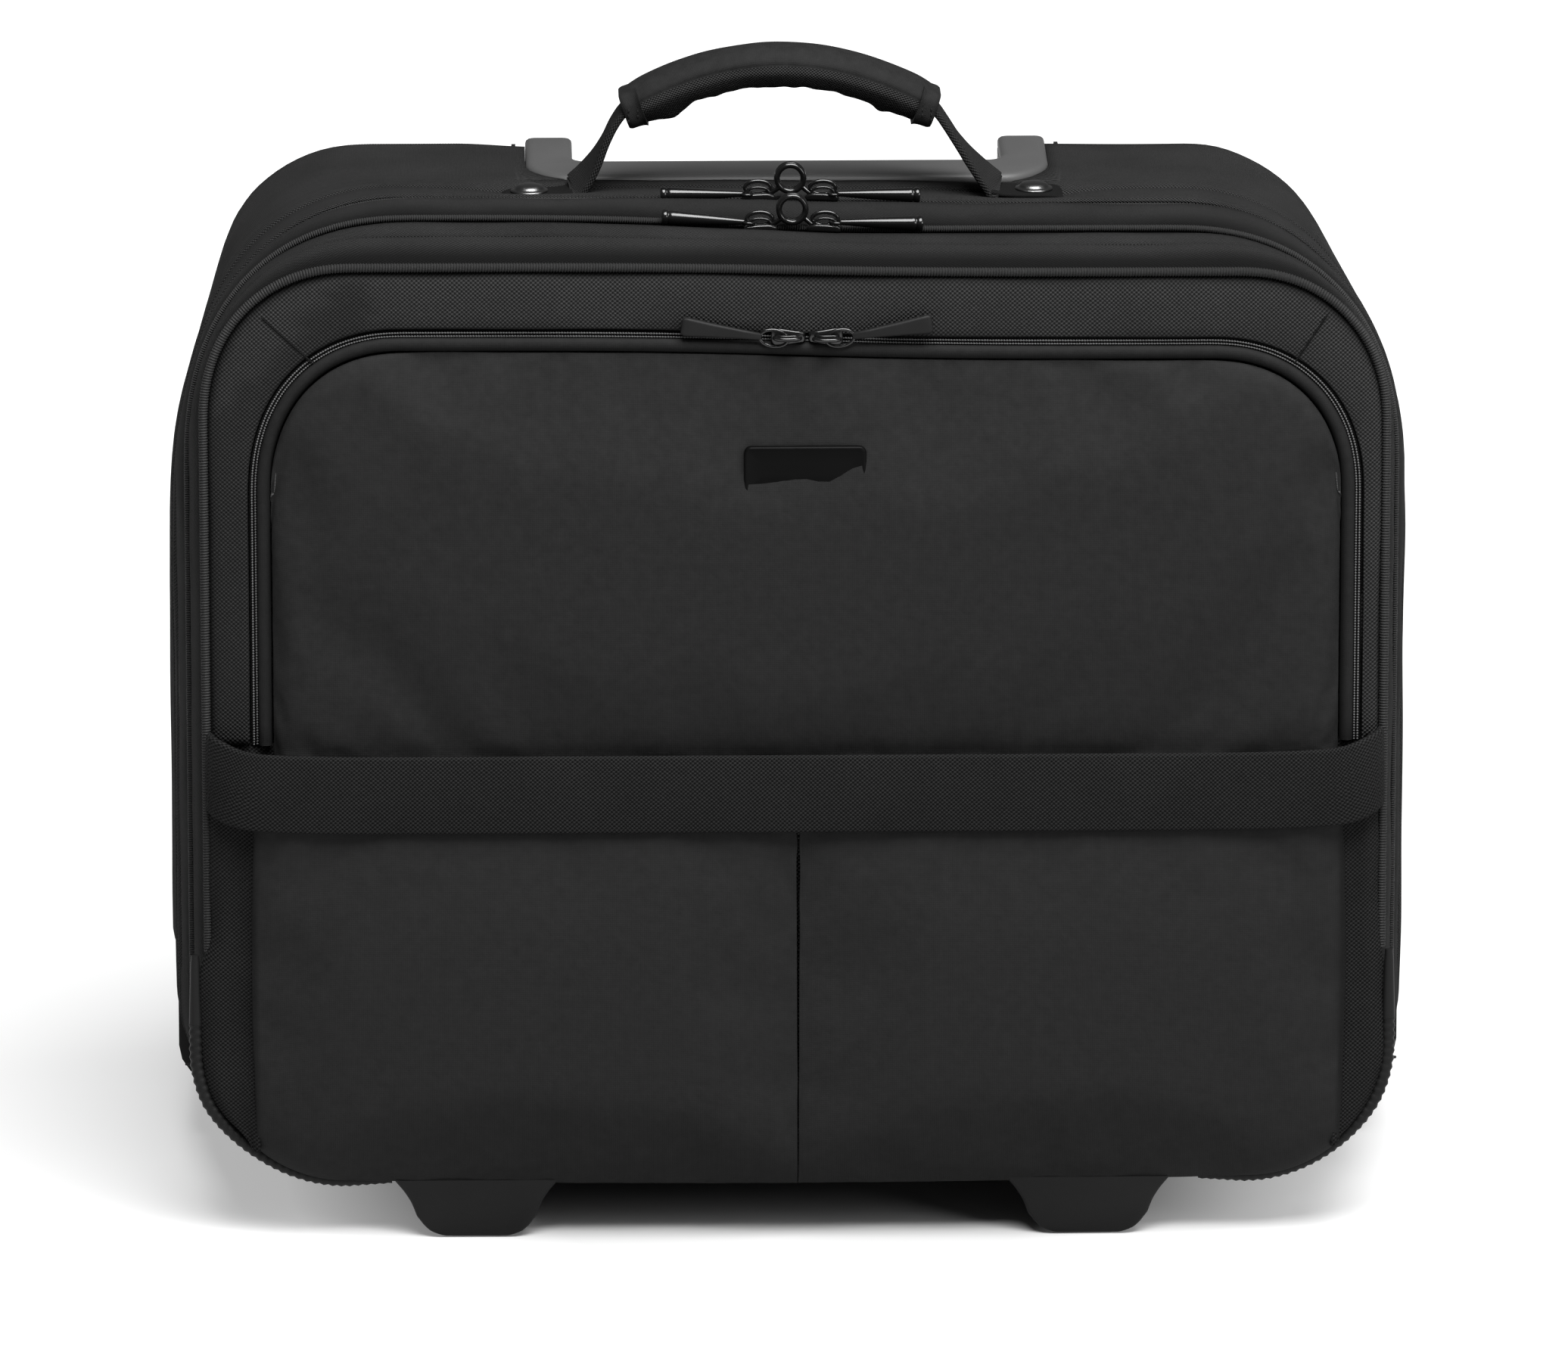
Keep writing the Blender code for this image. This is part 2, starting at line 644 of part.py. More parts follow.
def make_carry_handle():
    """The webbing, narrow at its base so that it clears the case, and the sleeve round it."""
    path = across_handle(handle_half())
    widths = []
    for _, _, z in path:
        clear = max(z - HANDLE_HINGE_Z - WEBBING_CLEAR, WEBBING_NARROWEST)
        widths.append(min(WEBBING[0], 2 * clear))
    strap("handle_webbing", path, (0, 1, 0), widths, WEBBING[1], "fabric")
    sleeve = add_part("handle_sleeve", loft_mesh("handle_sleeve", sleeve_rings(), True, True, True), "fabric")
    wide = [WEBBING[0] + 0.001] * len(path)
    tunnel = strap("handle_tunnel", path, (0, 1, 0), wide, WEBBING[1] + 0.001, "fabric")
    CASE.objects.unlink(tunnel)
    CUTTERS.objects.link(tunnel)
    tunnel.hide_render = True
    tunnel.display_type = 'WIRE'
    combine(sleeve, tunnel, 'DIFFERENCE')
    smooth(sleeve)
    for side, sign in (("left", -1), ("right", 1)):
        make_rivet(side, sign)


def make_rivet(side, sign):
    """A domed rivet over the end of the webbing."""
    profile = [(0.0, 0.0)] + list(RIVET_DOME)
    mesh = bpy.data.meshes.new("rivet_" + side)
    edges = [(i, i + 1) for i in range(len(profile) - 1)]
    mesh.from_pydata([(x, 0.0, z) for x, z in reversed(profile)], edges, [])
    place = (RIVET_MIDDLE + sign * RIVET_X, HANDLE_Y, RIVET_Z)
    rivet = add_part("rivet_" + side, mesh, "rivet", place)
    turn(rivet, 20)
    smooth(rivet)


# ------------------------------------------------------------------ middle section

def make_middle():
    """The middle shell and the padded divider for a laptop."""
    front = ZIP_B + ZIP_TAPE / 2 + GAP
    back = ZIP_A - ZIP_TAPE / 2 - GAP
    rings = [body_ring(front), body_ring((front + back) / 2), body_ring(back)]
    shell = add_part("middle_shell", loft_mesh("middle_shell", rings, end_cap=True), "fabric")
    solidify(shell, SHELL_WALL)
    smooth(shell)
    pad = box_mesh("laptop_divider", (-0.170, -0.0270, 0.0246), (0.170, -0.0235, 0.3000))
    bevel(add_part("laptop_divider", pad, "lining"), 0.0012, 1)


# ------------------------------------------------------------------ front section

def make_front_shell():
    """The front shell, with a window behind the flap and the lining that closes it."""
    rings = [body_ring(FRONT_EDGE, 0.0050, FRONT_WALL)]
    rings.append(body_ring(FRONT_EDGE, 0.0023, FRONT_EDGE - EDGE_ROLL))
    rings += [body_ring(y) for y in (FRONT_EDGE, -0.060, ZIP_B - ZIP_TAPE / 2 - GAP)]
    shell = add_part("front_shell", loft_mesh("front_shell", rings, start_cap=True), "fabric")
    solidify(shell, SHELL_WALL)
    edge = flap_outline(ZIP_C_OUTER + GAP, -0.0950, FLAP_BOTTOM - GAP)
    window = prism_mesh("flap_window", edge, (0, 0.0180, 0))
    combine(shell, add_cutter("flap_window", window), 'DIFFERENCE')
    smooth(shell)
    lining = prism_mesh("pocket_lining", body_ring(LINING_FRONT, 0.0035), (0, 0.0015, 0))
    add_part("pocket_lining", lining, "lining")


def make_front_trim():
    """The piping round the front's top and sides, and a moulded guard round each bottom corner."""
    top = [(x, PIPING_FRONT, z) for x, z in top_arc(FRONT_EDGE, PIPING_LOW_FRONT)]
    tube("front_piping", top, PIPING_R, "trim")
    for side, sign in (("left", -1), ("right", 1)):
        under = [point for point in bottom_arc(FRONT_EDGE, GUARD_TOP, -0.0008) if point[0] > GUARD_INNER_X]
        under.append((GUARD_INNER_X, BODY_BOTTOM - 0.0008))
        path = [(sign * x, GUARD_Y, z) for x, z in sorted(under)]
        tube("corner_guard_" + side, path, GUARD_R, "plastic")


def make_lower_pocket():
    """A shallow tray over the bottom of the front, open at its top."""
    rings = []
    for y, half, bottom, radius in (POCKET_FRONT, POCKET_BACK):
        right = [(half, POCKET_TOP)]
        for across, down in corner(radius, radius, 2.0, BOTTOM_STEPS):
            right.append((half - radius + across, bottom + radius - down))
        left = [(-x, z) for x, z in right]
        rings.append([(x, y, z) for x, z in left + list(reversed(right))])
    mesh = loft_mesh("lower_pocket", rings, ring_closed=False, start_cap=True)
    pocket = add_part("lower_pocket", mesh, "panel")
    solidify(pocket, 0.0024)
    smooth(pocket)


def make_band():
    """The band across the front, bent back at its ends."""
    half = [(0.2060, -0.0905), (0.2012, -0.0975), (0.1950, -0.1012), (0.1800, -0.1021)]
    path = []
    for x, y in half:
        rise = BAND_RISE * max(0.0, (x - 0.185) / 0.021)
        path.append((x, y, BAND_BOTTOM + BAND_HEIGHT / 2 + rise))
    path = [(-x, y, z) for x, y, z in path] + list(reversed(path))
    strap("front_band", path, (0, 0, 1), [BAND_HEIGHT] * len(path), BAND_THICK, "fabric")


def make_flap():
    """The zip round the pocket, the flap and its badge."""
    outer = flap_outline(ZIP_C_OUTER, -0.0890)
    inner = flap_outline(ZIP_C_INNER, -0.0890)
    bm = bmesh.new()
    rows = [[bm.verts.new(point) for point in line] for line in (outer, inner)]
    for j in range(len(outer) - 1):
        bm.faces.new((rows[0][j], rows[0][j + 1], rows[1][j + 1], rows[1][j]))
    tape = add_part("zip_pocket", mesh_from(bm, "zip_pocket", False), "trim")
    solidify(tape, 0.0016)
    hinge = Vector(FLAP_HINGE)
    outline = [Vector(point) - hinge for point in flap_outline(0.0, FLAP_FRONT)]
    flap = prism_mesh("flap_panel", outline, (0, FLAP_THICK, 0))
    flap = add_part("flap_panel", flap, "panel", FLAP_HINGE)
    bevel(flap, 0.0012, 2)
    smooth(flap)
    badge = box_mesh("badge", (-0.0216, -0.0011, -0.0087), (0.0216, 0.0011, 0.0087))
    badge = add_part("badge", badge, "gloss", (0.0033, FLAP_FRONT - 0.0015, 0.2833))
    bevel(badge, 0.0010, 2)


# ------------------------------------------------------------------ zip sliders

def ring_mesh(name):
    """A flat ring in the XZ plane, for a padlock."""
    bm = bmesh.new()
    rows = []
    inner, outer = RING_R
    for step in range(RING_STEPS):
        angle = 2 * math.pi * step / RING_STEPS
        row = []
        for radius, side in ((outer, -1), (outer, 1), (inner, 1), (inner, -1)):
            place = (radius * math.cos(angle), RING_Y + side * RING_HALF, RING_UP + radius * math.sin(angle))
            row.append(bm.verts.new(place))
        rows.append(row)
    for i, row in enumerate(rows):
        after = rows[(i + 1) % RING_STEPS]
        for j in range(4):
            k = (j + 1) % 4
            bm.faces.new((row[j], after[j], after[k], row[k]))
    return mesh_from(bm, name)


def slider_mesh(name, ring):
    """A slider body with its lug; the padlock ring stands where the pair meets."""
    end = SLIDER_START + SLIDER_LENGTH
    body = box_mesh(name, (SLIDER_START, -SLIDER_HALF, 0.0), (end, SLIDER_HALF, SLIDER_HIGH))
    body = bpy.data.objects.new(name, body)
    CUTTERS.objects.link(body)
    bevel(body, 0.0008, 1)
    half_x, half_y = LUG_HALF
    lug = box_mesh(name + "_lug", (PIVOT_X - half_x, -half_y, 0.0030), (PIVOT_X + half_x, half_y, LUG_TOP))
    helpers = [add_cutter(name + "_lug", lug)]
    if ring:
        helpers.append(add_cutter(name + "_ring", ring_mesh(name + "_ring")))
        stalk = box_mesh(name + "_stalk", (0.0046, 0.0004, 0.0030), (0.0080, 0.0020, 0.0080))
        helpers.append(add_cutter(name + "_stalk", stalk))
    for helper in helpers:
        combine(body, helper, 'UNION')
    made = baked_mesh(body, name)
    for helper in helpers + [body]:
        bpy.data.objects.remove(helper, do_unlink=True)
    made.materials.append(MATERIALS["gloss"])
    return made


def pull_mesh(name):
    """A pull about its pivot: a fork round the slider's lug and a bar that widens outwards."""
    rings = []
    for x, half, thick in PULL_SECTIONS:
        rings.append([(x, half, thick), (x, -half, thick), (x, -half, -thick), (x, half, -thick)])
    bar = bpy.data.objects.new(name, loft_mesh(name, rings, True, True, True))
    CUTTERS.objects.link(bar)
    arms = []
    for side in (-1, 1):
        edges = sorted((side * FORK_GAP, side * FORK_HALF))
        arm = box_mesh(name + "_arm", (-0.0010, edges[0], -0.0008), (0.0070, edges[1], 0.0008))
        arms.append(add_cutter(name + "_arm", arm))
        combine(bar, arms[-1], 'UNION')
    made = baked_mesh(bar, name)
    for helper in arms + [bar]:
        bpy.data.objects.remove(helper, do_unlink=True)
    made.materials.append(MATERIALS["gloss"])
    return made


def make_sliders():
    """A pair of sliders with their pulls on each of the three zips."""
    ringed = slider_mesh("slider_ringed", True)
    plain = slider_mesh("slider_plain", False)
    pull = pull_mesh("pull_bar")
    up_right = (0, 0, 0)
    up_left = (0, 0, math.pi)
    front_right = (math.pi / 2, 0, 0)
    front_left = (-math.pi / 2, 0, math.pi)
    rows = (
        ("main", ringed, ZIP_MAIN_MEET, up_left, up_right),
        ("laptop", ringed, ZIP_LAPTOP_MEET, up_left, up_right),
        ("pocket", plain, ZIP_POCKET_MEET, front_left, front_right),
    )
    for zip_name, mesh, place, left, right in rows:
        for side, sign, rotation in (("left", -1, left), ("right", 1, right)):
            add_part("slider_" + zip_name + "_" + side, mesh, "gloss", place, rotation)
            pivot = Vector(place) + Vector((sign * PIVOT_X, 0, 0))
            pivot += Vector((0, -PIVOT_UP, 0)) if zip_name == "pocket" else Vector((0, 0, PIVOT_UP))
            add_part("pull_" + zip_name + "_" + side, pull, "gloss", pivot, rotation)


def main():
    """Every piece, from the back to the front."""
    make_rear_case()
    make_zip("zip_main", "hinge_strip_main", ZIP_A, "trim")
    make_trolley()
    for side, sign in (("left", -1), ("right", 1)):
        make_wheel(side, sign)
        make_foot(side, sign)
    make_carry_handle()
    make_middle()
    make_zip("zip_laptop", "hinge_strip_front", ZIP_B, "trim")
    make_front_shell()
    make_front_trim()
    make_lower_pocket()
    make_band()
    make_flap()
    make_sliders()


clear_scene()
CASE = new_collection("pilot_rolling_flight_case")
CUTTERS = new_collection("cutters")
MATERIALS = make_materials()
main()
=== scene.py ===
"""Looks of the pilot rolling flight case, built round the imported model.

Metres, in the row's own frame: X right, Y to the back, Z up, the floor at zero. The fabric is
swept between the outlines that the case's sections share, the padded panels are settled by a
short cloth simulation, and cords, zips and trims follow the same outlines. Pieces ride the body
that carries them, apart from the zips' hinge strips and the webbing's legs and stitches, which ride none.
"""
import math
from itertools import product

import bpy
import numpy as np
from mathutils import Matrix, Vector, noise


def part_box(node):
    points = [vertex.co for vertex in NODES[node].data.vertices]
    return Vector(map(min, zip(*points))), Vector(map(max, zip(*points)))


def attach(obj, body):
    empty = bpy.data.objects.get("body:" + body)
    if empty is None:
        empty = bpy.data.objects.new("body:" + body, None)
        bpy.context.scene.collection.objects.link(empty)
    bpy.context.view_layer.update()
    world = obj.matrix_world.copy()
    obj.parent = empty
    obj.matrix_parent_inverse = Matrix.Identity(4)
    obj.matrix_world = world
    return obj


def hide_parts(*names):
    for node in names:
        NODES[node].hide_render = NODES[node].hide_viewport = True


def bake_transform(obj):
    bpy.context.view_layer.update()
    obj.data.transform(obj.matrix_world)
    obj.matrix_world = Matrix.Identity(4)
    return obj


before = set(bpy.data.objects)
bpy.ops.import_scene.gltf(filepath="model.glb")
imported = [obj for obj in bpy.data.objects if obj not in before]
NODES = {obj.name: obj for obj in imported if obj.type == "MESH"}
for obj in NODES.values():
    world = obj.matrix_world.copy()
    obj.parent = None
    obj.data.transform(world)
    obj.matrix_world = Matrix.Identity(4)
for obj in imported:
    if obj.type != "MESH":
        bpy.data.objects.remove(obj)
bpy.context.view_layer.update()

SIDES = (("left", -1), ("right", 1))

# ---------------------------------------------------------------- driving dimensions

# Depth, half width, top, top corner width, height and roundness, bottom corner radius
STATIONS = (
    (-0.0850, 0.2082, 0.3527, 0.050, 0.052, 2.1, 0.048),
    (-0.0340, 0.2155, 0.3578, 0.080, 0.088, 2.3, 0.042),
    (-0.0010, 0.2205, 0.3590, 0.084, 0.105, 2.2, 0.040),
    (0.0500, 0.2240, 0.3592, 0.080, 0.135, 2.1, 0.040),
    (0.0950, 0.2240, 0.3588, 0.075, 0.140, 2.0, 0.040),
)
BODY_BOTTOM = 0.0215
FRONT_EDGE = -0.0825
FRONT_WALL = -0.0872
PIPING_Y = -0.0866
BACK_EDGE = 0.0925
BACK_WALL = 0.0975
BACK_INSET = 0.0078
ZIP_MAIN_Y = -0.0010
ZIP_LAPTOP_Y = -0.0340
ZIP_END = 0.075
CLOTH = 0.0014

# The cloth's slack: sag of the front tops, dip at the laptop zip's middle, and the rear
# shoulders' lean to the left, fullness at their corners and rise on the left
LEAN = 0.0025
DIP = 0.0014
SLUMP = 0.0040
SHOULDER = 0.0045
RISE = 0.0014

# Flap pocket; a strip of the yoke at its lower left is painted darker, as shade where less light falls than
# on the right
FLAP_HALF = 0.1880
FLAP_TOP = 0.3231
FLAP_BOTTOM = 0.1820
FLAP_CORNER = (0.046, 0.050, 2.2)
ZIP_LINE = 0.0080
LEFT_SHADE = 0.35
LEFT_SHADE_LINE = 0.5265
FLAP_SHIFT = 0.0038
FLAP_WIDEN = 1.006

# Lower pocket, band and corner guards
POCKET_SIDE = 0.1935
POCKET_MOUTH = 0.1600
POCKET_SHIFT = 0.0008
BELLOWS_FOOT = 0.0330
BAND_MIDDLE = 0.16625
BAND_HALF = 0.0142
GUARD_TOP = 0.1042
GUARD_OUT = {-1: 0.0042, 1: 0.0022}

# Carry handle
HANDLE_X = -0.0035
HANDLE_Y = 0.0160
HINGE_Z = 0.3605
SLEEVE_HALF = 0.0553
SLEEVE_TOP = 0.4052
SLEEVE_DROP = 0.0165
SMOOTH_TO = 173.0
RIVET_MIDDLE = -0.0027
RIVET_X = 0.0905
ANCHOR_Z = 0.3580

# Rear recesses
NOTCH_X = 0.0946
NOTCH_Y = 0.0292
GRIP_CORNER = (0.0190, 0.0240)
NOTCH_FLOOR = 0.3465
ROOM_X = 0.1675
ROOM_Y = 0.0300
ROOM_TOP = 0.0755


# ---------------------------------------------------------------- materials

class Finish:
    """A material under construction, with short calls for its nodes."""

    def __init__(self, name, colour, rough, metal=0.0, specular=0.5):
        self.material = bpy.data.materials.new(name)
        self.material.use_nodes = True
        self.tree = self.material.node_tree
        self.surface = self.tree.nodes["Principled BSDF"]
        self.put("Base Color", (*colour, 1.0))
        self.put("Roughness", rough)
        self.put("Metallic", metal)
        self.put("Specular IOR Level", specular)

    def put(self, socket, value):
        self.surface.inputs[socket].default_value = value

    def feed(self, socket, value):
        if isinstance(value, bpy.types.NodeSocket):
            self.tree.links.new(value, socket)
        else:
            socket.default_value = value

    def node(self, kind, **settings):
        made = self.tree.nodes.new("ShaderNode" + kind)
        for key, value in settings.items():
            setattr(made, key, value)
        return made

    def math(self, operation, first, second=0.0):
        made = self.node("Math", operation=operation)
        self.feed(made.inputs[0], first)
        self.feed(made.inputs[1], second)
        return made.outputs[0]

    def weave_place(self):
        """The two coordinates, in metres, that run along and across the cloth."""
        made = self.node("Attribute", attribute_name="weave")
        split = self.node("SeparateXYZ")
        self.feed(split.inputs[0], made.outputs["Vector"])
        return split.outputs[0], split.outputs[1]

    def place(self):
        return self.node("TexCoord").outputs["Object"]

    def unshaded_share(self):
        """One on open cloth and zero deep in a seam: the crease attribute is painted shade in seams and
        folds.
        """
        made = self.node("Attribute", attribute_name="crease")
        return self.math('SUBTRACT', 1.0, made.outputs["Fac"])

    def grain(self, scale, detail=2.0, rough=0.5, place=None):
        made = self.node("TexNoise")
        self.feed(made.inputs["Vector"], place or self.place())
        made.inputs["Scale"].default_value = scale
        made.inputs["Detail"].default_value = detail
        made.inputs["Roughness"].default_value = rough
        return made.outputs[0]

    def distance(self, place, scale):
        """Distance from the object's origin, with each axis scaled."""
        scaled = self.node("VectorMath", operation='MULTIPLY')
        self.feed(scaled.inputs[0], place)
        scaled.inputs[1].default_value = scale
        made = self.node("VectorMath", operation='LENGTH')
        self.feed(made.inputs[0], scaled.outputs[0])
        return made.outputs["Value"]

    def ramp(self, value, start, end, top):
        """Zero up to the start, then a straight rise to the top value at the end."""
        made = self.node("MapRange", clamp=True)
        self.feed(made.inputs["Value"], value)
        made.inputs["From Min"].default_value = start
        made.inputs["From Max"].default_value = end
        made.inputs["To Max"].default_value = top
        return made.outputs["Result"]

    def wave(self, along, pitch):
        """Thread profile: zero between threads and one at their crowns."""
        return self.math('ABSOLUTE', self.math('SINE', self.math('MULTIPLY', along, math.pi / pitch)))

    def spread(self, value, low, high):
        """A value from zero to one brought to run from low to high."""
        return self.math('ADD', self.math('MULTIPLY', value, high - low), low)

    def tint(self, dark, light, share):
        made = self.node("Mix", data_type='RGBA')
        self.feed(made.inputs[0], share)
        made.inputs[6].default_value = (*dark, 1.0)
        made.inputs[7].default_value = (*light, 1.0)
        self.feed(self.surface.inputs["Base Color"], made.outputs[2])

    def relief(self, height, distance):
        made = self.node("Bump")
        made.inputs["Distance"].default_value = distance
        made.inputs["Strength"].default_value = 1.0
        self.feed(made.inputs["Height"], height)
        self.feed(self.surface.inputs["Normal"], made.outputs[0])

    def gloss_range(self, low, high, share):
        self.feed(self.surface.inputs["Roughness"], self.spread(share, low, high))


def grey(level):
    return (level, level, level)


def cloth_finish(name, dark, light, pitch, relief, uneven=0.25):
    """Woven cloth: crossing threads make a lattice that is stronger along one diagonal."""
    f = Finish(name, grey(dark), 0.9, specular=0.05)
    along, across = f.weave_place()
    bend = f.spread(f.grain(55.0), -pitch, pitch)
    first = f.math('MULTIPLY', f.math('ADD', along, bend), math.pi / pitch)
    second = f.math('MULTIPLY', across, math.pi / (0.9 * pitch))
    rising = f.math('COSINE', f.math('SUBTRACT', first, second))
    falling = f.math('COSINE', f.math('ADD', first, second))
    lattice = f.math('SUBTRACT', f.math('MULTIPLY', rising, 0.6), f.math('MULTIPLY', falling, 0.4))
    height = f.spread(lattice, 0.5, 1.0)
    patches = f.spread(f.grain(30.0, 3.0), 1 - uneven, 1 + uneven)
    speck = f.spread(f.grain(900.0, 1.0), 0.75, 1.25)
    share = f.math('MULTIPLY', f.math('MULTIPLY', height, patches), speck)
    # The painted shade in seams and folds darkens the cloth.
    f.tint(grey(dark), grey(light), f.math('MULTIPLY', share, f.unshaded_share()))
    f.relief(height, relief)
    return f.material


def panel_finish(name, dark, light, pitch=0.00045):
    """Smooth close-grained cloth with a faint mottle."""
    f = Finish(name, grey(dark), 0.75, specular=0.06)
    along, across = f.weave_place()
    fine = f.math('MULTIPLY', f.wave(along, pitch), f.wave(across, pitch))
    mottle = f.grain(260.0, 4.0, 0.65)
    share = f.math('ADD', f.math('MULTIPLY', fine, 0.35), f.math('MULTIPLY', mottle, 0.75))
    # The painted shade in seams and folds darkens the cloth.
    share = f.math('MULTIPLY', share, f.unshaded_share())
    f.tint(grey(dark), grey(light), share)
    height = f.math('ADD', f.math('MULTIPLY', fine, 0.5), f.grain(700.0, 3.0, 0.6))
    f.relief(height, 0.00010)
    f.gloss_range(0.62, 0.80, mottle)
    return f.material


def cord_finish(name, dark, light, rough=0.6):
    """Covered cord and zip coil: fine fibres over the modelled ribs."""
    f = Finish(name, grey(dark), rough, specular=0.10)
    fibres = f.grain(1600.0, 3.0, 0.6)
    f.tint(grey(dark), grey(light), fibres)
    f.relief(fibres, 0.00010)
    return f.material


def plastic_finish(name, dark, light, rough, grain_scale, relief, specular):
    """Moulded plastic with a fine even grain and slight patches of wear."""
    f = Finish(name, grey(dark), rough, specular=specular)
    patches = f.grain(38.0, 4.0, 0.6)
    f.tint(grey(dark), grey(light), patches)
    f.relief(f.grain(grain_scale, 2.0), relief)
    f.gloss_range(rough * 0.85, rough * 1.15, patches)
    return f.material


def metal_finish(name, level, rough, brushed):
    """Metal with fine drawn lines along Z where it is brushed."""
    f = Finish(name, grey(level), rough, metal=1.0)
    lines = f.node("Mapping")
    lines.inputs["Scale"].default_value = (1.0, 1.0, 0.02 if brushed else 1.0)
    f.feed(lines.inputs[0], f.place())
    scratch = f.grain(1500.0, 3.0, 0.7, lines.outputs[0])
    f.tint(grey(level * 0.85), grey(level * 1.1), scratch)
    f.relief(scratch, 0.00003)
    f.gloss_range(rough * 0.8, rough * 1.3, scratch)
    return f.material


def make_materials():
    """Every finish by name, each with its dark and light level first."""
    return {
        "canvas": cloth_finish("canvas", 0.0040, 0.0320, 0.00082, 0.00060),
        "band": cloth_finish("band_cloth", 0.0010, 0.0170, 0.00082, 0.00050),
        "nylon": cloth_finish("nylon", 0.0020, 0.0330, 0.00062, 0.00060, uneven=0.40),
        "panel": panel_finish("smooth_panel_cloth", 0.0040, 0.0165),
        "pocket": panel_finish("pocket_cloth", 0.0050, 0.0155),
        "lining": cloth_finish("lining", 0.030, 0.060, 0.00060, 0.00012),
        "webbing": cloth_finish("webbing", 0.0040, 0.0210, 0.00070, 0.00030),
        "tape": cloth_finish("zip_tape", 0.0010, 0.0080, 0.00045, 0.00010),
        "cord": cord_finish("ribbed_cord", 0.0080, 0.0260),
        "coil": cord_finish("zip_coil", 0.0100, 0.0300, 0.5),
        "thread_light": cord_finish("light_thread", 0.045, 0.100, 0.7),
        "thread_dark": cord_finish("dark_thread", 0.004, 0.012, 0.7),
        "gloss": plastic_finish("black_chrome", 0.002, 0.004, 0.18, 900.0, 0.00001, 0.40),
        "badge": plastic_finish("badge_enamel", 0.002, 0.003, 0.35, 600.0, 0.00001, 0.03),
        "grip": plastic_finish("grip_plastic", 0.036, 0.048, 0.50, 2200.0, 0.00004, 0.3),
        "moulded": plastic_finish("moulded_plastic", 0.005, 0.009, 0.50, 1500.0, 0.00006, 0.10),
        "rubber": plastic_finish("tyre_rubber", 0.010, 0.020, 0.82, 1200.0, 0.00008, 0.3),
        "steel": metal_finish("steel", 0.50, 0.28, False),
        "aluminium": metal_finish("aluminium", 0.62, 0.30, True),
        "rivet": metal_finish("rivet_metal", 0.10, 0.30, False),
    }


# ---------------------------------------------------------------- lines and outlines

def run_length(line):
    """Distance along a line to each of its points."""
    steps = np.linalg.norm(np.diff(line, axis=0), axis=1)
    return np.concatenate([[0.0], np.cumsum(steps)])


def at_lengths(line, wanted):
    along = run_length(line)
    return np.stack([np.interp(wanted, along, line[:, k]) for k in range(line.shape[1])], axis=1)


def resample(line, count):
    line = np.asarray(line, float)
    return at_lengths(line, np.linspace(0.0, run_length(line)[-1], count))


def station_at(y):
    """Half width, top and corner sizes of the soft body at a depth."""
    table = np.array(STATIONS)
    return [np.interp(y, table[:, 0], table[:, k]) for k in range(1, 7)]


def quarter(width, height, power, steps=24):
    """A rounded corner from its side to its top, from its own centre."""
    turn = np.linspace(0.0, math.pi / 2, steps + 1)
    across = width * np.abs(np.cos(turn)) ** (2 / power)
    up = height * np.abs(np.sin(turn)) ** (2 / power)
    return np.stack([across, up], axis=1)


def half_outline(y, grow=0.0):
    """(x, z) from the bottom middle up the right side to the top middle."""
    half, top, width, height, power, radius = station_at(y)
    low = quarter(radius + grow, radius + grow, 2.0)[::-1] * (1, -1)
    low += (half - radius, BODY_BOTTOM + radius)
    high = quarter(width + grow, height + grow, power) + (half - width, top - height)
    return np.vstack([[(0.0, BODY_BOTTOM - grow)], low, high, [(0.0, top + grow)]])


def mirrored(half):
    """A line on the right and its mirror image on the left, as one line."""
    return np.vstack([half, half[::-1][1:] * (-1, 1)])


def ease(value, start, end):
    """Zero before the start, one after the end and smooth between them."""
    share = np.clip((value - start) / (end - start), 0.0, 1.0)
    return share * share * (3 - 2 * share)


def lean(points):
    """The cloth's slack: the front sections' tops sag to the right, the rear's shoulders to the left."""
    points = np.array(points, float)
    x, y, z = points[..., 0], points[..., 1], points[..., 2]
    high = ease(z, 0.25, 0.34)
    rear = ease(y, 0.0, 0.05)
    from_zip = y - ZIP_LAPTOP_Y
    # The sag fades behind the laptop zip, halves before it, and grows again at the front face
    share = np.exp(-(from_zip / 0.050) ** 2)
    share = np.where(from_zip < 0, np.maximum(share, 0.56), share) + 0.36 * ease(-y, 0.0868, 0.0896)
    sag = LEAN * np.tanh(x / 0.06) * share
    sag = sag + DIP * np.exp(-(x / 0.055) ** 2) * np.exp(-(from_zip / 0.020) ** 2)
    z = z - sag * high
    shoulder = ease(np.abs(x), 0.12, 0.17) * rear * ease(z, 0.290, 0.335)
    full = ease(np.abs(x), 0.138, 0.165) * rear * np.exp(-((z - 0.343) / 0.018) ** 2)
    points[..., 2] = z + RISE * ease(y, 0.03, 0.07) * ease(-x, 0.09, 0.12) * high
    points[..., 0] = x - SLUMP * shoulder + SHOULDER * np.sign(x) * full
    return points


def in_space(line, y):
    """A line of (x, z) set at a depth, with the cloth's slack."""
    return lean(np.stack([line[:, 0], np.full(len(line), y), line[:, 1]], axis=1))


def hoop(y, grow):
    """The whole outline at a depth, from the bottom middle and back to it."""
    return in_space(mirrored(resample(half_outline(y, grow), 170)), y)


def above(y, low, grow):
    """The half outline from a height on the side up to the top middle."""
    line = half_outline(y, grow)
    cut = [(station_at(y)[0] + grow, low)]
    return np.vstack([cut, line[line[:, 1] > low + 1e-5]])


def arch(y, low, grow, at=None):
    """The outline above a height, from the right side over to the left."""
    line = mirrored(resample(above(y, low, grow), 140))
    return in_space(line, y if at is None else at)


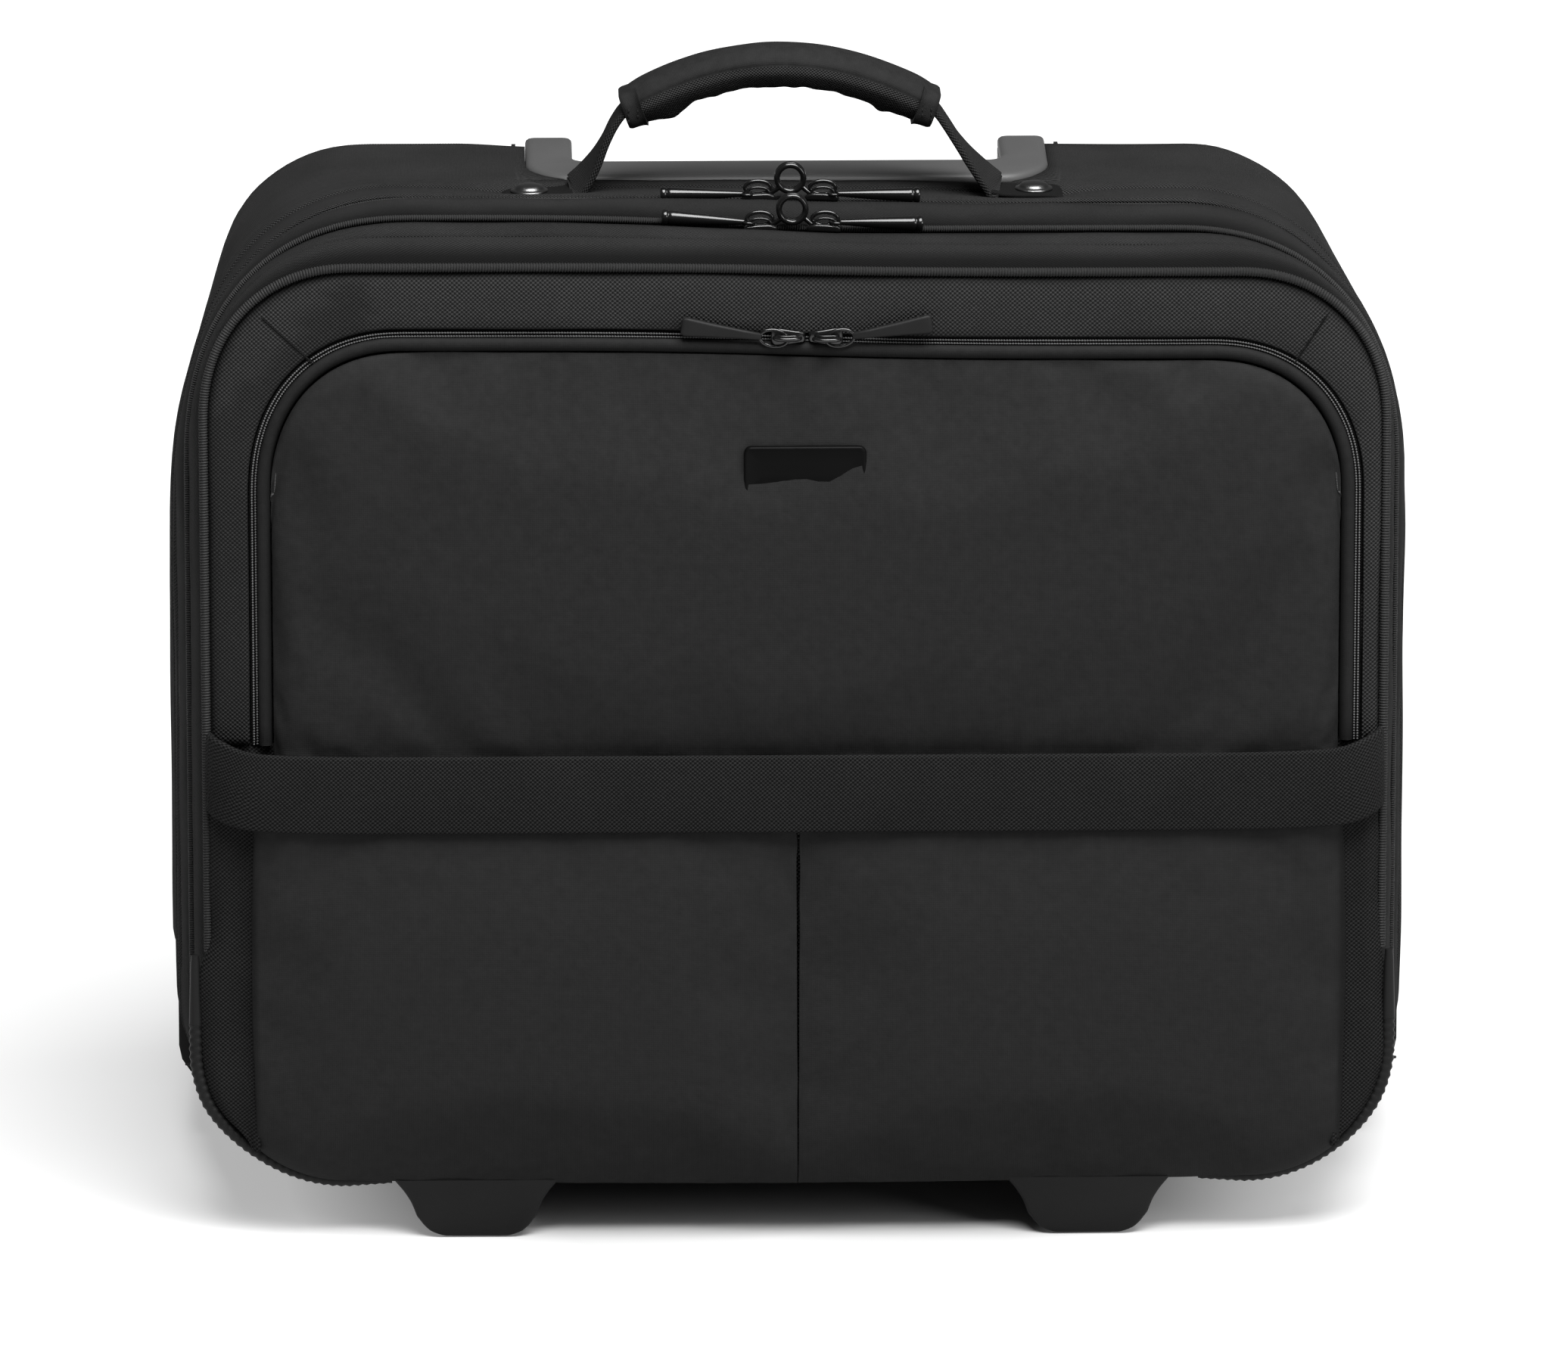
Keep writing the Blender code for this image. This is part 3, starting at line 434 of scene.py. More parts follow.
def trough(y, high, grow, at=None, count=80):
    """The outline below a height, from the left side under to the right."""
    line = half_outline(y, grow)
    cut = [(station_at(y)[0] + grow, high)]
    right = resample(np.vstack([line[line[:, 1] < high - 1e-5], cut]), count)
    whole = np.vstack([right[::-1] * (-1, 1), right[1:]])
    return in_space(whole, y if at is None else at)


def flap_line(offset):
    """(x, z) of the flap's outline grown by an offset, from right to left."""
    width, height, power = FLAP_CORNER
    high = quarter(width + offset, height + offset, power) + (FLAP_HALF - width, FLAP_TOP - height)
    half = np.vstack([[(FLAP_HALF + offset, FLAP_BOTTOM)], high, [(0.0, FLAP_TOP + offset)]])
    return mirrored(resample(half, 120)) * (FLAP_WIDEN, 1.0) + (FLAP_SHIFT, 0.0)


def edge_height(y, grow, x, top):
    """Height of the outline at a distance from the middle, over the top or under the bottom."""
    line = half_outline(y, grow)
    turn = int(np.argmax(line[:, 0]))
    x = np.abs(x)
    if top:
        return np.interp(x, line[turn:, 0][::-1], line[turn:, 1][::-1])
    return np.interp(x, line[:turn + 1, 0], line[:turn + 1, 1])


def directions(path):
    """The unit direction of a path at each of its points."""
    steps = np.gradient(path, axis=0)
    return steps / np.linalg.norm(steps, axis=1, keepdims=True)


def side_part(path, sign, start):
    """The part of a path that lies beyond a distance from the middle on one side, outer end first."""
    path = path[path[:, 0] * sign > start]
    return path[::-1] if sign < 0 else path


# ---------------------------------------------------------------- meshes

def add_piece(name, points, faces, material, body, slot=None, weave=None, replaces=(), angle=50,
              crease=None):
    """A mesh piece that rides a body, with its cloth coordinates and its painted shade in creases if it has
    any.
    """
    points = np.asarray(points, float).reshape(-1, 3)
    mesh = bpy.data.meshes.new(name)
    mesh.from_pydata(points.tolist(), [], faces)
    if weave is not None:
        layer = mesh.attributes.new("weave", 'FLOAT_VECTOR', 'POINT')
        layer.data.foreach_set("vector", np.asarray(weave, np.float32).ravel())
    # The crease attribute is painted shade: at one the cloth is darkened as in a shaded seam.
    if crease is not None:
        layer = mesh.attributes.new("crease", 'FLOAT', 'POINT')
        layer.data.foreach_set("value", np.asarray(crease, np.float32).ravel())
    mesh.shade_smooth()
    mesh.set_sharp_from_angle(angle=math.radians(angle))
    mesh.materials.append(MATERIALS[material])
    piece = bpy.data.objects.new(name, mesh)
    bpy.context.scene.collection.objects.link(piece)
    if body:
        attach(piece, body)
    if replaces:
        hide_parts(*replaces)
    return piece


def quads(rows, columns, wrap=False, keep=None):
    """Faces of a grid of points, leaving out those that keep() turns down."""
    faces = []
    for i in range(rows - 1):
        for j in range(columns if wrap else columns - 1):
            k = (j + 1) % columns
            if keep is None or keep(i, j):
                faces.append((i * columns + j, (i + 1) * columns + j, (i + 1) * columns + k, i * columns + k))
    return faces


def capped(count, sides):
    """Faces of a closed shape through rings of points, with both ends filled."""
    ends = [tuple(range(sides)), tuple(reversed(range((count - 1) * sides, count * sides)))]
    return quads(count, sides, wrap=True) + ends


def from_columns(columns):
    """Rows of points from columns of points."""
    return np.transpose(np.array(columns), (1, 0, 2))


def grid_weave(rows):
    """Cloth coordinates: lengths along the middle row and across the middle column."""
    count, columns = rows.shape[:2]
    along = run_length(rows[count // 2])
    across = run_length(rows[:, columns // 4])
    weave = np.zeros((count, columns, 3))
    weave[..., 0] = along[None, :]
    weave[..., 1] = across[:, None]
    return weave


def grid_normals(rows):
    normal = np.cross(np.gradient(rows, axis=0), np.gradient(rows, axis=1))
    return normal / np.maximum(np.linalg.norm(normal, axis=2, keepdims=True), 1e-9)


def rumple(rows, size, depth, seed, fixed_edges=2):
    """A grid moved along its normals by smooth noise, easing off at its first and last rows."""
    rows = np.array(rows, float)
    normal = grid_normals(rows)
    count = rows.shape[0]
    for i in range(count):
        fade = min(1.0, min(i, count - 1 - i) / fixed_edges)
        for j in range(rows.shape[1]):
            at = Vector(rows[i, j]) / size + Vector((seed, 2.0 * seed, 0.5))
            rows[i, j] += normal[i, j] * (noise.noise(at) * depth * fade)
    return rows


def surface(name, rows, material, body, wall=0.0, keep=None, weave=None, inner=None, crease=None,
            **words):
    """A cloth surface through rows of points, with a thickness on its inner side.

    Its crease is painted shade: one number for each row, or for each point, one in a seam and zero on open
    cloth."""
    rows = np.asarray(rows, float)
    if crease is not None:
        crease = np.asarray(crease, float)
        if crease.ndim == 1:
            crease = np.repeat(crease[:, None], rows.shape[1], axis=1)
        words["crease"] = crease
    weave = grid_weave(rows) if weave is None else weave
    faces = quads(rows.shape[0], rows.shape[1], keep=keep)
    piece = add_piece(name, rows, faces, material, body, weave=weave, **words)
    if wall:
        thicken(piece, wall, inner)
    return piece


def thicken(piece, wall, inner):
    """A wall behind a surface, with its own material inside if one is named."""
    shell = piece.modifiers.new("wall", 'SOLIDIFY')
    shell.thickness = wall
    shell.offset = -1.0
    if inner:
        piece.data.materials.append(MATERIALS[inner])
        shell.material_offset = 1


def flat_weave(points):
    """Cloth coordinates of a panel that faces the front: its own X and Z."""
    points = np.asarray(points, float).reshape(-1, 3)
    return np.stack([points[:, 0], points[:, 2], np.zeros(len(points))], axis=1)


def disc(radius, sides=8, squash=1.0):
    """A round or oval section, anticlockwise."""
    turn = np.arange(sides) * 2 * math.pi / sides
    return np.stack([radius * np.cos(turn), radius * squash * np.sin(turn)], axis=1)


def bar(half_wide, half_high, radius, steps=4):
    """A rounded rectangle section, anticlockwise."""
    points = []
    for quarter_turn, (sx, sy) in enumerate(((1, 1), (-1, 1), (-1, -1), (1, -1))):
        for step in range(steps + 1):
            turn = math.pi / 2 * (quarter_turn + step / steps)
            x = sx * (half_wide - radius) + radius * math.cos(turn)
            y = sy * (half_high - radius) + radius * math.sin(turn)
            points.append((x, y))
    return np.array(points)


def sweep(name, path, section, material, body, across=(0, 1, 0), ribs=None, taper=None, **words):
    """A section carried along a path. Its first number is across the path, its second outwards.

    Ribs are a pitch and a depth, as a share of the section. Taper gives the section's size at
    shares of the length from 0 to 1.
    """
    path = np.asarray(path, float)
    scale = np.ones(len(path))
    if ribs:
        pitch, depth = ribs
        path = resample(path, int(run_length(path)[-1] / pitch * 4) + 1)
        scale = 1.0 - depth * (0.5 - 0.5 * np.cos(np.arange(len(path)) * math.pi / 2))
    if taper:
        share = run_length(path) / run_length(path)[-1]
        places, sizes = zip(*taper)
        scale = scale * np.interp(share, places, sizes)
    tangent = directions(path)
    outward = np.cross(np.asarray(across, float), tangent)
    outward /= np.linalg.norm(outward, axis=1, keepdims=True)
    sideways = np.cross(tangent, outward)
    section = np.asarray(section, float)
    rows = path[:, None, :] + scale[:, None, None] * (
        section[None, :, 0:1] * sideways[:, None, :] + section[None, :, 1:2] * outward[:, None, :])
    count, sides = rows.shape[:2]
    weave = np.zeros((count, sides, 3))
    weave[..., 0] = run_length(path)[:, None]
    weave[..., 1] = run_length(section)[None, :]
    return add_piece(name, rows, capped(count, sides), material, body, weave=weave, **words)


def stitches(name, path, outward, material, body, pitch=0.0030, length=0.0021, radius=0.0003, **words):
    """A row of thread stitches along a path, each a small capsule half sunk in the cloth."""
    path = np.asarray(path, float)
    total = run_length(path)[-1]
    places = np.arange(pitch, total - pitch, pitch)
    shape = ((-0.5, 0.25), (-0.38, 0.85), (0.0, 1.1), (0.38, 0.85), (0.5, 0.25))
    starts = at_lengths(path, places)
    ahead = at_lengths(path, places + 0.0002)
    outward = np.broadcast_to(np.asarray(outward, float), (len(path), 3))
    along = run_length(path)
    points, faces = [], []
    sides = 6
    capsule = capped(len(shape), sides)
    for place, start, next_point in zip(places, starts, ahead):
        out = np.array([np.interp(place, along, outward[:, k]) for k in range(3)])
        tangent = (next_point - start) / np.linalg.norm(next_point - start)
        side = np.cross(tangent, out)
        base = len(points)
        for shift, size in shape:
            for step in range(sides):
                turn = step * 2 * math.pi / sides
                ring = math.cos(turn) * side + math.sin(turn) * out
                points.append(start + tangent * shift * length + ring * radius * size)
        faces += [tuple(base + corner for corner in face) for face in capsule]
    return add_piece(name, points, faces, material, body, **words)


# ---------------------------------------------------------------- cloth simulation

def settled(rows, pressure):
    """A grid of cloth pinned along its border, pressed outwards from behind and left to settle."""
    slack, furthest, frames = 0.004, 0.004, 14
    count, columns = rows.shape[:2]
    mesh = bpy.data.meshes.new("settling")
    mesh.from_pydata(rows.reshape(-1, 3).tolist(), [], quads(count, columns))
    cloth = bpy.data.objects.new("settling", mesh)
    bpy.context.scene.collection.objects.link(cloth)
    border = cloth.vertex_groups.new(name="border")
    held = [i * columns + j for i in range(count) for j in range(columns)
            if i in (0, count - 1) or j in (0, columns - 1)]
    border.add(held, 1.0, 'REPLACE')
    settings = cloth.modifiers.new("cloth", 'CLOTH').settings
    settings.quality = 6
    settings.mass = 0.25
    settings.tension_stiffness = 12.0
    settings.compression_stiffness = 12.0
    settings.bending_stiffness = 1.5
    settings.shrink_min = -slack
    settings.use_pressure = True
    settings.uniform_pressure_force = pressure
    settings.vertex_group_mass = "border"
    settings.effector_weights.gravity = 0.0
    scene = bpy.context.scene
    for number in range(1, frames + 1):
        scene.frame_set(number)
    done = cloth.evaluated_get(bpy.context.evaluated_depsgraph_get())
    moved = np.array([v.co for v in done.data.vertices], float).reshape(rows.shape)
    scene.frame_set(1)
    bpy.data.objects.remove(cloth, do_unlink=True)
    shift = moved - rows
    size = np.linalg.norm(shift, axis=2, keepdims=True)
    return rows + shift * np.minimum(1.0, furthest / np.maximum(size, 1e-9))


# ---------------------------------------------------------------- front section

def make_front_gusset():
    """Top, sides and bottom of the front section: smooth cloth by the zip, twill before it."""
    # Each ring: depth, growth and painted shade, one where shade falls in the seams at its edges and zero on
    # open cloth.
    smooth = ((-0.0526, -0.0006, 0.7), (-0.0518, 0.0001, 0.2), (-0.0490, 0.0004, 0.0),
              (-0.0450, 0.0006, 0.0), (-0.0420, 0.0006, 0.1), (-0.0392, 0.0004, 0.5), (-0.0380, 0.0, 0.9),
              (-0.0378, -0.0014, 1.0))
    make_gusset("front_gusset_edge", smooth, "nylon", "front_section", (0.030, 0.0006, 3.1))
    puffed = ((-0.0850, -0.0056, 1.0), (-0.0830, -0.0044, 1.0), (-0.0785, -0.0022, 1.0),
              (-0.0750, -0.0006, 1.0), (-0.0720, 0.0002, 0.92), (-0.0680, 0.0010, 0.62),
              (-0.0640, 0.0015, 0.28), (-0.0600, 0.0017, 0.18), (-0.0560, 0.0012, 0.20),
              (-0.0530, 0.0002, 0.4), (-0.0522, -0.0008, 0.8))
    make_gusset("front_gusset", puffed, "canvas", "front_section", (0.034, 0.0008, 7.7), ("front_shell",))


def make_gusset(name, profile, material, body, rumpling, replaces=()):
    """A lined wall all round a section, from rings of depth, growth and painted shade in its seams."""
    rows = rumple([hoop(y, grow) for y, grow, _ in profile], *rumpling)
    surface(name, rows, material, body, CLOTH, slot="canvas", inner="lining", replaces=replaces,
            crease=[seam for _, _, seam in profile])


def make_front_wall():
    """The twill front: a yoke round the flap pocket and the wall behind the lower pocket."""
    outer = mirrored(resample(above(FRONT_EDGE, FLAP_BOTTOM, -0.0008), 120))
    inner = flap_line(ZIP_LINE)
    # Rows: share of the way from the yoke's outer edge to the zip, depth, and painted shade, darkest as shade
    # in the seams at the piping and the zip.
    shares = ((0.0, -0.0848, 1.0), (0.04, -0.0862, 0.95), (0.09, -0.0874, 0.55), (0.15, -0.0882, 0.2),
              (0.22, -0.0887, 0.05), (0.35, -0.0892, 0.0), (0.60, -0.0895, 0.0), (0.80, -0.0895, 0.08),
              (0.96, -0.0897, 0.12), (1.0, -0.0893, 0.9), (0.995, -0.0885, 1.0))
    rows = [in_space(outer * (1 - share) + inner * share, y) for share, y, _ in shares]
    rows = rumple(rows, 0.040, 0.0009, 1.3)[::-1]
    seam = np.array([seam for _, _, seam in reversed(shares)])[:, None]
    # Painted shade: the yoke's strip at the lower left is darkened, as if lit less than the right side.
    left_shade_strip = ease(LEFT_SHADE_LINE + 1.1 * rows[..., 0] - rows[..., 2], -0.001, 0.001) * (rows[..., 0] < -0.15)
    seam = np.maximum(seam, LEFT_SHADE * left_shade_strip)
    surface("front_yoke", rows, "canvas", "front_section", CLOTH, slot="canvas", weave=flat_weave(rows),
            crease=seam)
    half = station_at(FRONT_EDGE)[0] - 0.0014
    columns = []
    for x in np.linspace(-half, half, 90):
        low = edge_height(FRONT_EDGE, -0.0014, x, False)
        columns.append([(x, FRONT_WALL, z) for z in np.linspace(low, FLAP_BOTTOM, 30)])
    rows = from_columns(columns)[::-1]
    surface("front_wall_lower", rows, "canvas", "front_section", CLOTH, slot="canvas",
            weave=flat_weave(rows))
    for side, sign in SIDES:
        make_mitre(side, sign)


def make_mitre(side, sign):
    """The slanted seam where the yoke's top strip meets its side strip."""
    start = np.array((sign * 0.1880, -0.0888, 0.3375))
    end = np.array((sign * 0.1722 + FLAP_SHIFT, -0.0894, 0.3195))
    path = np.linspace(start, end, 12)
    path[:, 1] -= 0.0001 * np.sin(np.linspace(0, math.pi, 12))
    sweep("yoke_mitre_" + side, path, disc(0.00042, 6), "tape", "front_section", slot="canvas",
          taper=((0, 0.4), (0.2, 1), (0.8, 1), (1, 0.4)))


def guard_reach(z, sign):
    """How far a corner guard stands outside the piping's line, at a height."""
    return GUARD_OUT[sign] * ease(z, 0.022, 0.052)


def make_front_trim():
    """Ribbed piping round the top and sides, and a moulded guard round each bottom corner."""
    path = arch(FRONT_EDGE, 0.1050, 0.0004, PIPING_Y)
    sweep("front_piping", path, disc(0.00175, 10), "cord", "front_section", ribs=(0.00100, 0.26),
          slot="piping", replaces=("front_piping",))
    for side, sign in SIDES:
        path = side_part(trough(FRONT_EDGE, GUARD_TOP, 0.0010, -0.0882, count=120), sign, 0.143)[::-1]
        path[:, 0] += sign * guard_reach(path[:, 2], sign)
        smooth_part = at_lengths(path, np.linspace(0, 0.026, 20))
        ribbed_part = at_lengths(path, np.linspace(0.0255, run_length(path)[-1], 120))
        sweep("corner_guard_" + side, ribbed_part, disc(0.00255, 12), "moulded", "front_section",
              ribs=(0.0030, 0.20), slot="moulded_plastic", replaces=("corner_guard_" + side,),
              taper=((0, 1), (0.85, 1), (1, 0.55)))
        sweep("corner_guard_end_" + side, smooth_part, disc(0.0024, 12), "moulded", "front_section",
              slot="moulded_plastic", taper=((0, 0.60), (0.15, 0.72), (1, 1)))


def make_zip_pocket():
    """The zip round the flap pocket: a tape half on the case and half on the flap, with teeth."""
    halves = (("zip_pocket_outer", "front_section", ("zip_pocket",),
               ((0.0112, FRONT_WALL), (0.0096, -0.0876), (0.0080, -0.0880), (0.0078, FRONT_WALL))),
              ("zip_pocket_inner", "pocket_flap", (),
               ((0.0077, FRONT_WALL), (0.0075, -0.0880), (0.0050, -0.0884), (0.0010, -0.0882))))
    for name, body, replaced, edges in halves:
        rows = [in_space(flap_line(offset), y) for offset, y in edges]
        surface(name, rows, "tape", body, slot="zip", replaces=replaced)
    for number, offset in enumerate((0.0066, 0.0054)):
        path = in_space(flap_line(offset), -0.0888)
        sweep(f"zip_pocket_teeth_{number + 1}", path, disc(0.00042, 8, 0.9), "thread_light",
              "pocket_flap", ribs=(0.00098, 0.80), slot="zip")


def make_flap():
    """The pocket flap: a rolled lip beside the zip and a crowned panel inside it."""
    lip = np.array(((0.0024, 0.0), (0.0021, 0.0010), (0.0012, 0.0017), (0.0, 0.0019), (-0.0010, 0.0016),
                    (-0.0018, 0.0010), (-0.0024, 0.0), (-0.0020, -0.0008), (0.0020, -0.0008)))
    # Painted shade round the lip's section: least on its front and most along its lower edge and back, as
    # shade under a roll lit from above.
    seam = np.array((0.6, 0.25, 0.25, 0.35, 0.55, 0.8, 1.0, 1.0, 1.0))
    path = in_space(flap_line(0.0025), -0.0892)
    forward = np.array((0.0, -1.0, 0.0))
    side = np.cross(directions(path), forward)
    rows = path[:, None, :] + lip[None, :, 0:1] * side[:, None, :] + lip[None, :, 1:2] * forward
    add_piece("flap_lip", rows, capped(len(path), len(lip)), "panel", "pocket_flap",
              slot="smooth_fabric", weave=flat_weave(rows), crease=np.tile(seam, len(path)))
    panel = settled(flap_grid(), 0.9)
    piece = surface("flap_panel", panel, "panel", "pocket_flap", 0.0018, slot="smooth_fabric",
                    weave=flat_weave(panel), replaces=("flap_panel",), inner="lining")
    refine(piece)


def flap_grid():
    """Columns of the flap panel, each from the bottom edge to the rounded top."""
    line = (flap_line(-0.0002) - (FLAP_SHIFT, 0.0)) / (FLAP_WIDEN, 1.0)
    top = line[:len(line) // 2 + 1][::-1]
    columns = []
    half = FLAP_HALF - 0.0002
    for x in np.sin(np.linspace(-math.pi / 2, math.pi / 2, 75)) * half:
        reach = np.interp(abs(x), top[:, 0], top[:, 1])
        column = []
        for share in 0.5 - 0.5 * np.cos(np.linspace(0, math.pi, 33)):
            z = FLAP_BOTTOM - 0.004 + (reach - FLAP_BOTTOM + 0.004) * share
            inside = max(min(half - abs(x), reach - z), 0.0)
            rise = 1.0 - math.exp(-inside / 0.0028)
            crown = 0.0018 * math.sin(math.pi * share) * math.cos(math.pi * x / (2 * half))
            column.append((x, -0.0897 - 0.0044 * rise - crown, z))
        columns.append(column)
    rows = from_columns(columns)[::-1]
    return lean(rows * (FLAP_WIDEN, 1.0, 1.0) + (FLAP_SHIFT, 0.0, 0.0))


def refine(piece):
    step = piece.modifiers.new("fine", 'SUBSURF')
    step.levels = 1
    step.render_levels = 1


def make_badge():
    """A blank plate with a raised rim."""
    low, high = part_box("badge")
    x, z = (low.x + high.x) / 2, (low.z + high.z) / 2
    half_x, half_z = (high.x - low.x) / 2, (high.z - low.z) / 2
    rings = ((0.0, 0.0), (0.0, 0.0014), (0.0004, 0.0020), (0.0009, 0.0022), (0.0013, 0.0020),
             (0.0016, 0.0017), (0.0070, 0.0017))
    rows = []
    for inset, rise in rings:
        section = bar(half_x - inset, half_z - inset, max(0.0026 - inset, 0.0006), 6)
        rows.append([(x + px, high.y - rise, z + pz) for px, pz in section])
    faces = [tuple(reversed(face)) for face in capped(len(rows), len(rows[0]))]
    add_piece("badge_plate", rows, faces, "badge", "pocket_flap", slot="gloss_plastic",
              replaces=("badge",), angle=70)


def make_band():
    """The twill band: a soft folded strip over the flap's foot and the lower pocket's mouth."""
    line = [(0.2080, -0.0880, 0.0062), (0.2072, -0.0912, 0.0058), (0.2050, -0.0945, 0.0050),
            (0.2010, -0.0978, 0.0034), (0.1960, -0.0999, 0.0020), (0.1880, -0.1010, 0.0010),
            (0.1700, -0.1014, 0.0003), (0.1400, -0.1015, 0.0), (0.07, -0.1016, 0.0), (0.0, -0.1016, 0.0)]
    line = line + [(-x, y, rise) for x, y, rise in reversed(line[:-1])]
    path = resample(smooth_line(np.array(line) + (0.0, 0.0, BAND_MIDDLE)), 160)
    section = bar(BAND_HALF, 0.0013, 0.0012)
    section[:, 1] += 0.0006 * (1 - (section[:, 0] / BAND_HALF) ** 2)
    sweep("front_band", path, section, "band", "front_section", across=(0, 0, 1), slot="canvas",
          replaces=("front_band",))


def smooth_line(points, steps=12):
    """A smooth curve through points."""
    points = np.asarray(points, float)
    padded = np.vstack([2 * points[0] - points[1], points, 2 * points[-1] - points[-2]])
    out = []
    for i in range(1, len(padded) - 2):
        a, b, c, d = padded[i - 1:i + 3]
        for t in np.arange(steps) / steps:
            out.append(0.5 * (2 * b + (c - a) * t + (2 * a - 5 * b + 4 * c - d) * t * t
                              + (3 * b - a - 3 * c + d) * t ** 3))
    out.append(points[-1])
    return np.array(out)


def pocket_foot(x):
    """Height of the lower pocket's bottom edge, which follows the case's own with a slight sag."""
    sag = 0.0018 * max(0.0, 1 - (x / 0.16) ** 2)
    return float(edge_height(FRONT_EDGE, 0.0006, x, False)) - sag


def pocket_half(sign):
    """Grid of one half of the lower pocket's front, from the centre seam to its side."""
    columns = []
    for share in 0.5 - 0.5 * np.cos(np.linspace(0, math.pi, 41)):
        column = []
        for up in 0.5 - 0.5 * np.cos(np.linspace(0, math.pi, 33)):
            side = POCKET_SIDE + 0.0015 * math.sin(math.pi * up) - (0.0006 if sign < 0 else 0.0)
            slit = 0.0006 * up
            x = slit + (side - slit) * share
            foot = pocket_foot(x)
            z = foot + (POCKET_MOUTH - foot) * up
            near_side = 1.0 - math.exp(-(side - x) / 0.0035)
            near_seam = 1.0 - 0.9 * math.exp(-(x - slit) / 0.0022)
            near_foot = 1.0 - math.exp(-(z - foot) / 0.0060)
            crown = 0.0014 * math.sin(math.pi * up) * math.sin(math.pi * share)
            y = -0.0912 - 0.0040 * near_foot - 0.0026 * near_side * near_foot
            y -= 0.0012 * near_seam * near_foot + crown
            column.append((sign * x + POCKET_SHIFT, y, z))
        columns.append(column)
    rows = from_columns(columns)
    return rows[::-1] if sign > 0 else rows


def make_lower_pocket():
    """The lower pocket: two smooth panels that meet at a seam, with twill bellows at the sides."""
    for side, sign in SIDES:
        rows = settled(pocket_half(sign), 0.8)
        # Painted shade: the cloth within about two millimetres of the pocket's sides is darkened as shade in
        # the seam.
        edge = POCKET_SIDE - np.abs(rows[..., 0] - POCKET_SHIFT)
        seam = np.clip(1.1 - edge / 0.0016, 0.0, 1.0)
        piece = surface("lower_pocket_" + side, rows, "pocket", "front_section", 0.0016,
                        slot="smooth_fabric", weave=flat_weave(rows), crease=seam,
                        replaces=("lower_pocket",) if sign > 0 else ())
        refine(piece)
        make_bellows(side, sign)


def make_bellows(side, sign):
    """One side of the lower pocket, folded in along a crease."""
    rows = []
    line = half_outline(FRONT_EDGE, -0.0004)
    line = line[:int(np.argmax(line[:, 0])) + 1]
    for up in np.linspace(0, 1, 44):
        z = BELLOWS_FOOT + (POCKET_MOUTH - BELLOWS_FOOT) * up
        inner = POCKET_SIDE - 0.0010 + 0.0015 * math.sin(math.pi * up)
        outer = float(np.interp(z, line[:, 1], line[:, 0]))
        outer += float(guard_reach(z, sign)) * (1 - float(ease(z, 0.096, 0.112)))
        outer = max(outer, inner + 0.0016)
        crease = 0.35 * inner + 0.65 * outer
        fold = ((outer, -0.0868), (outer - 0.0006, -0.0890), (0.5 * outer + 0.5 * crease, -0.0912),
                (crease, -0.0926), (0.5 * crease + 0.5 * inner, -0.0930), (inner + 0.0006, -0.0944),
                (inner - 0.0008, -0.0955))
        rows.append(resample(smooth_line([(sign * x, y, z) for x, y in fold], 6), 24))
    fine = rumple(rows, 0.022, 0.0012, 4.4 + sign)
    if sign < 0:
        fine = fine[::-1]
    surface("pocket_bellows_" + side, fine, "band", "front_section", CLOTH, slot="canvas",
            weave=flat_weave(fine))


# ---------------------------------------------------------------- middle and rear sections

def make_middle():
    """The middle section's soft wall, with its back wall behind."""
    # Each ring: depth, growth and painted shade, darkest as shade in the seams at the two zips.
    profile = ((-0.0302, -0.0014, 1.0), (-0.0300, 0.0, 0.9), (-0.0285, 0.0005, 0.75),
               (-0.0240, 0.0009, 0.5), (-0.0180, 0.0011, 0.2), (-0.0120, 0.0010, 0.05),
               (-0.0070, 0.0007, 0.1), (-0.0036, 0.0005, 0.3), (-0.0028, 0.0, 0.6), (-0.0027, -0.0014, 1.0))
    make_gusset("middle_body", profile, "nylon", "middle_section", (0.030, 0.0008, 11.0), ("middle_shell",))
    outline_fill("middle_back_wall", -0.0072, -0.0020, "lining", "middle_section")
    for side, sign in SIDES:
        path = side_part(trough(-0.0200, 0.0440, 0.0016, count=100), sign, 0.160)
        sweep("middle_guard_" + side, path, disc(0.0015, 10), "moulded", "middle_section",
              ribs=(0.0030, 0.2), slot="moulded_plastic", taper=((0, 0.3), (0.1, 1), (0.9, 1), (1, 0.3)))


def outline_fill(name, y, grow, material, body):
    """A flat wall that fills the outline at a depth."""
    half = station_at(y)[0] + grow
    columns = []
    for x in np.sin(np.linspace(-math.pi / 2, math.pi / 2, 81)) * (half - 0.0002):
        low = edge_height(y, grow, x, False)
        high = edge_height(y, grow, x, True)
        columns.append([(x, y, z) for z in np.linspace(low, high, 24)])
    rows = lean(from_columns(columns))
    surface(name, rows, material, body, 0.0012, slot="lining", weave=flat_weave(rows))


def rear_line(y, grow):
    """The rear outline in stretches that end at the wheel rooms and at the trolley recess."""
    line = half_outline(y, grow)
    along = run_length(line)
    turn = int(np.argmax(line[:, 0]))
    marks = [0.0, float(np.interp(ROOM_X, line[:turn, 0], along[:turn])),
             float(np.interp(ROOM_TOP, line[:, 1], along)),
             float(np.interp(-NOTCH_X, -line[turn + 1:, 0], along[turn + 1:])), along[-1]]
    wanted = []
    for count, start, end in zip((34, 26, 92, 30), marks, marks[1:]):
        wanted.extend(np.linspace(start, end, count, endpoint=False))
    wanted.append(along[-1])
    return mirrored(at_lengths(line, np.array(wanted)))


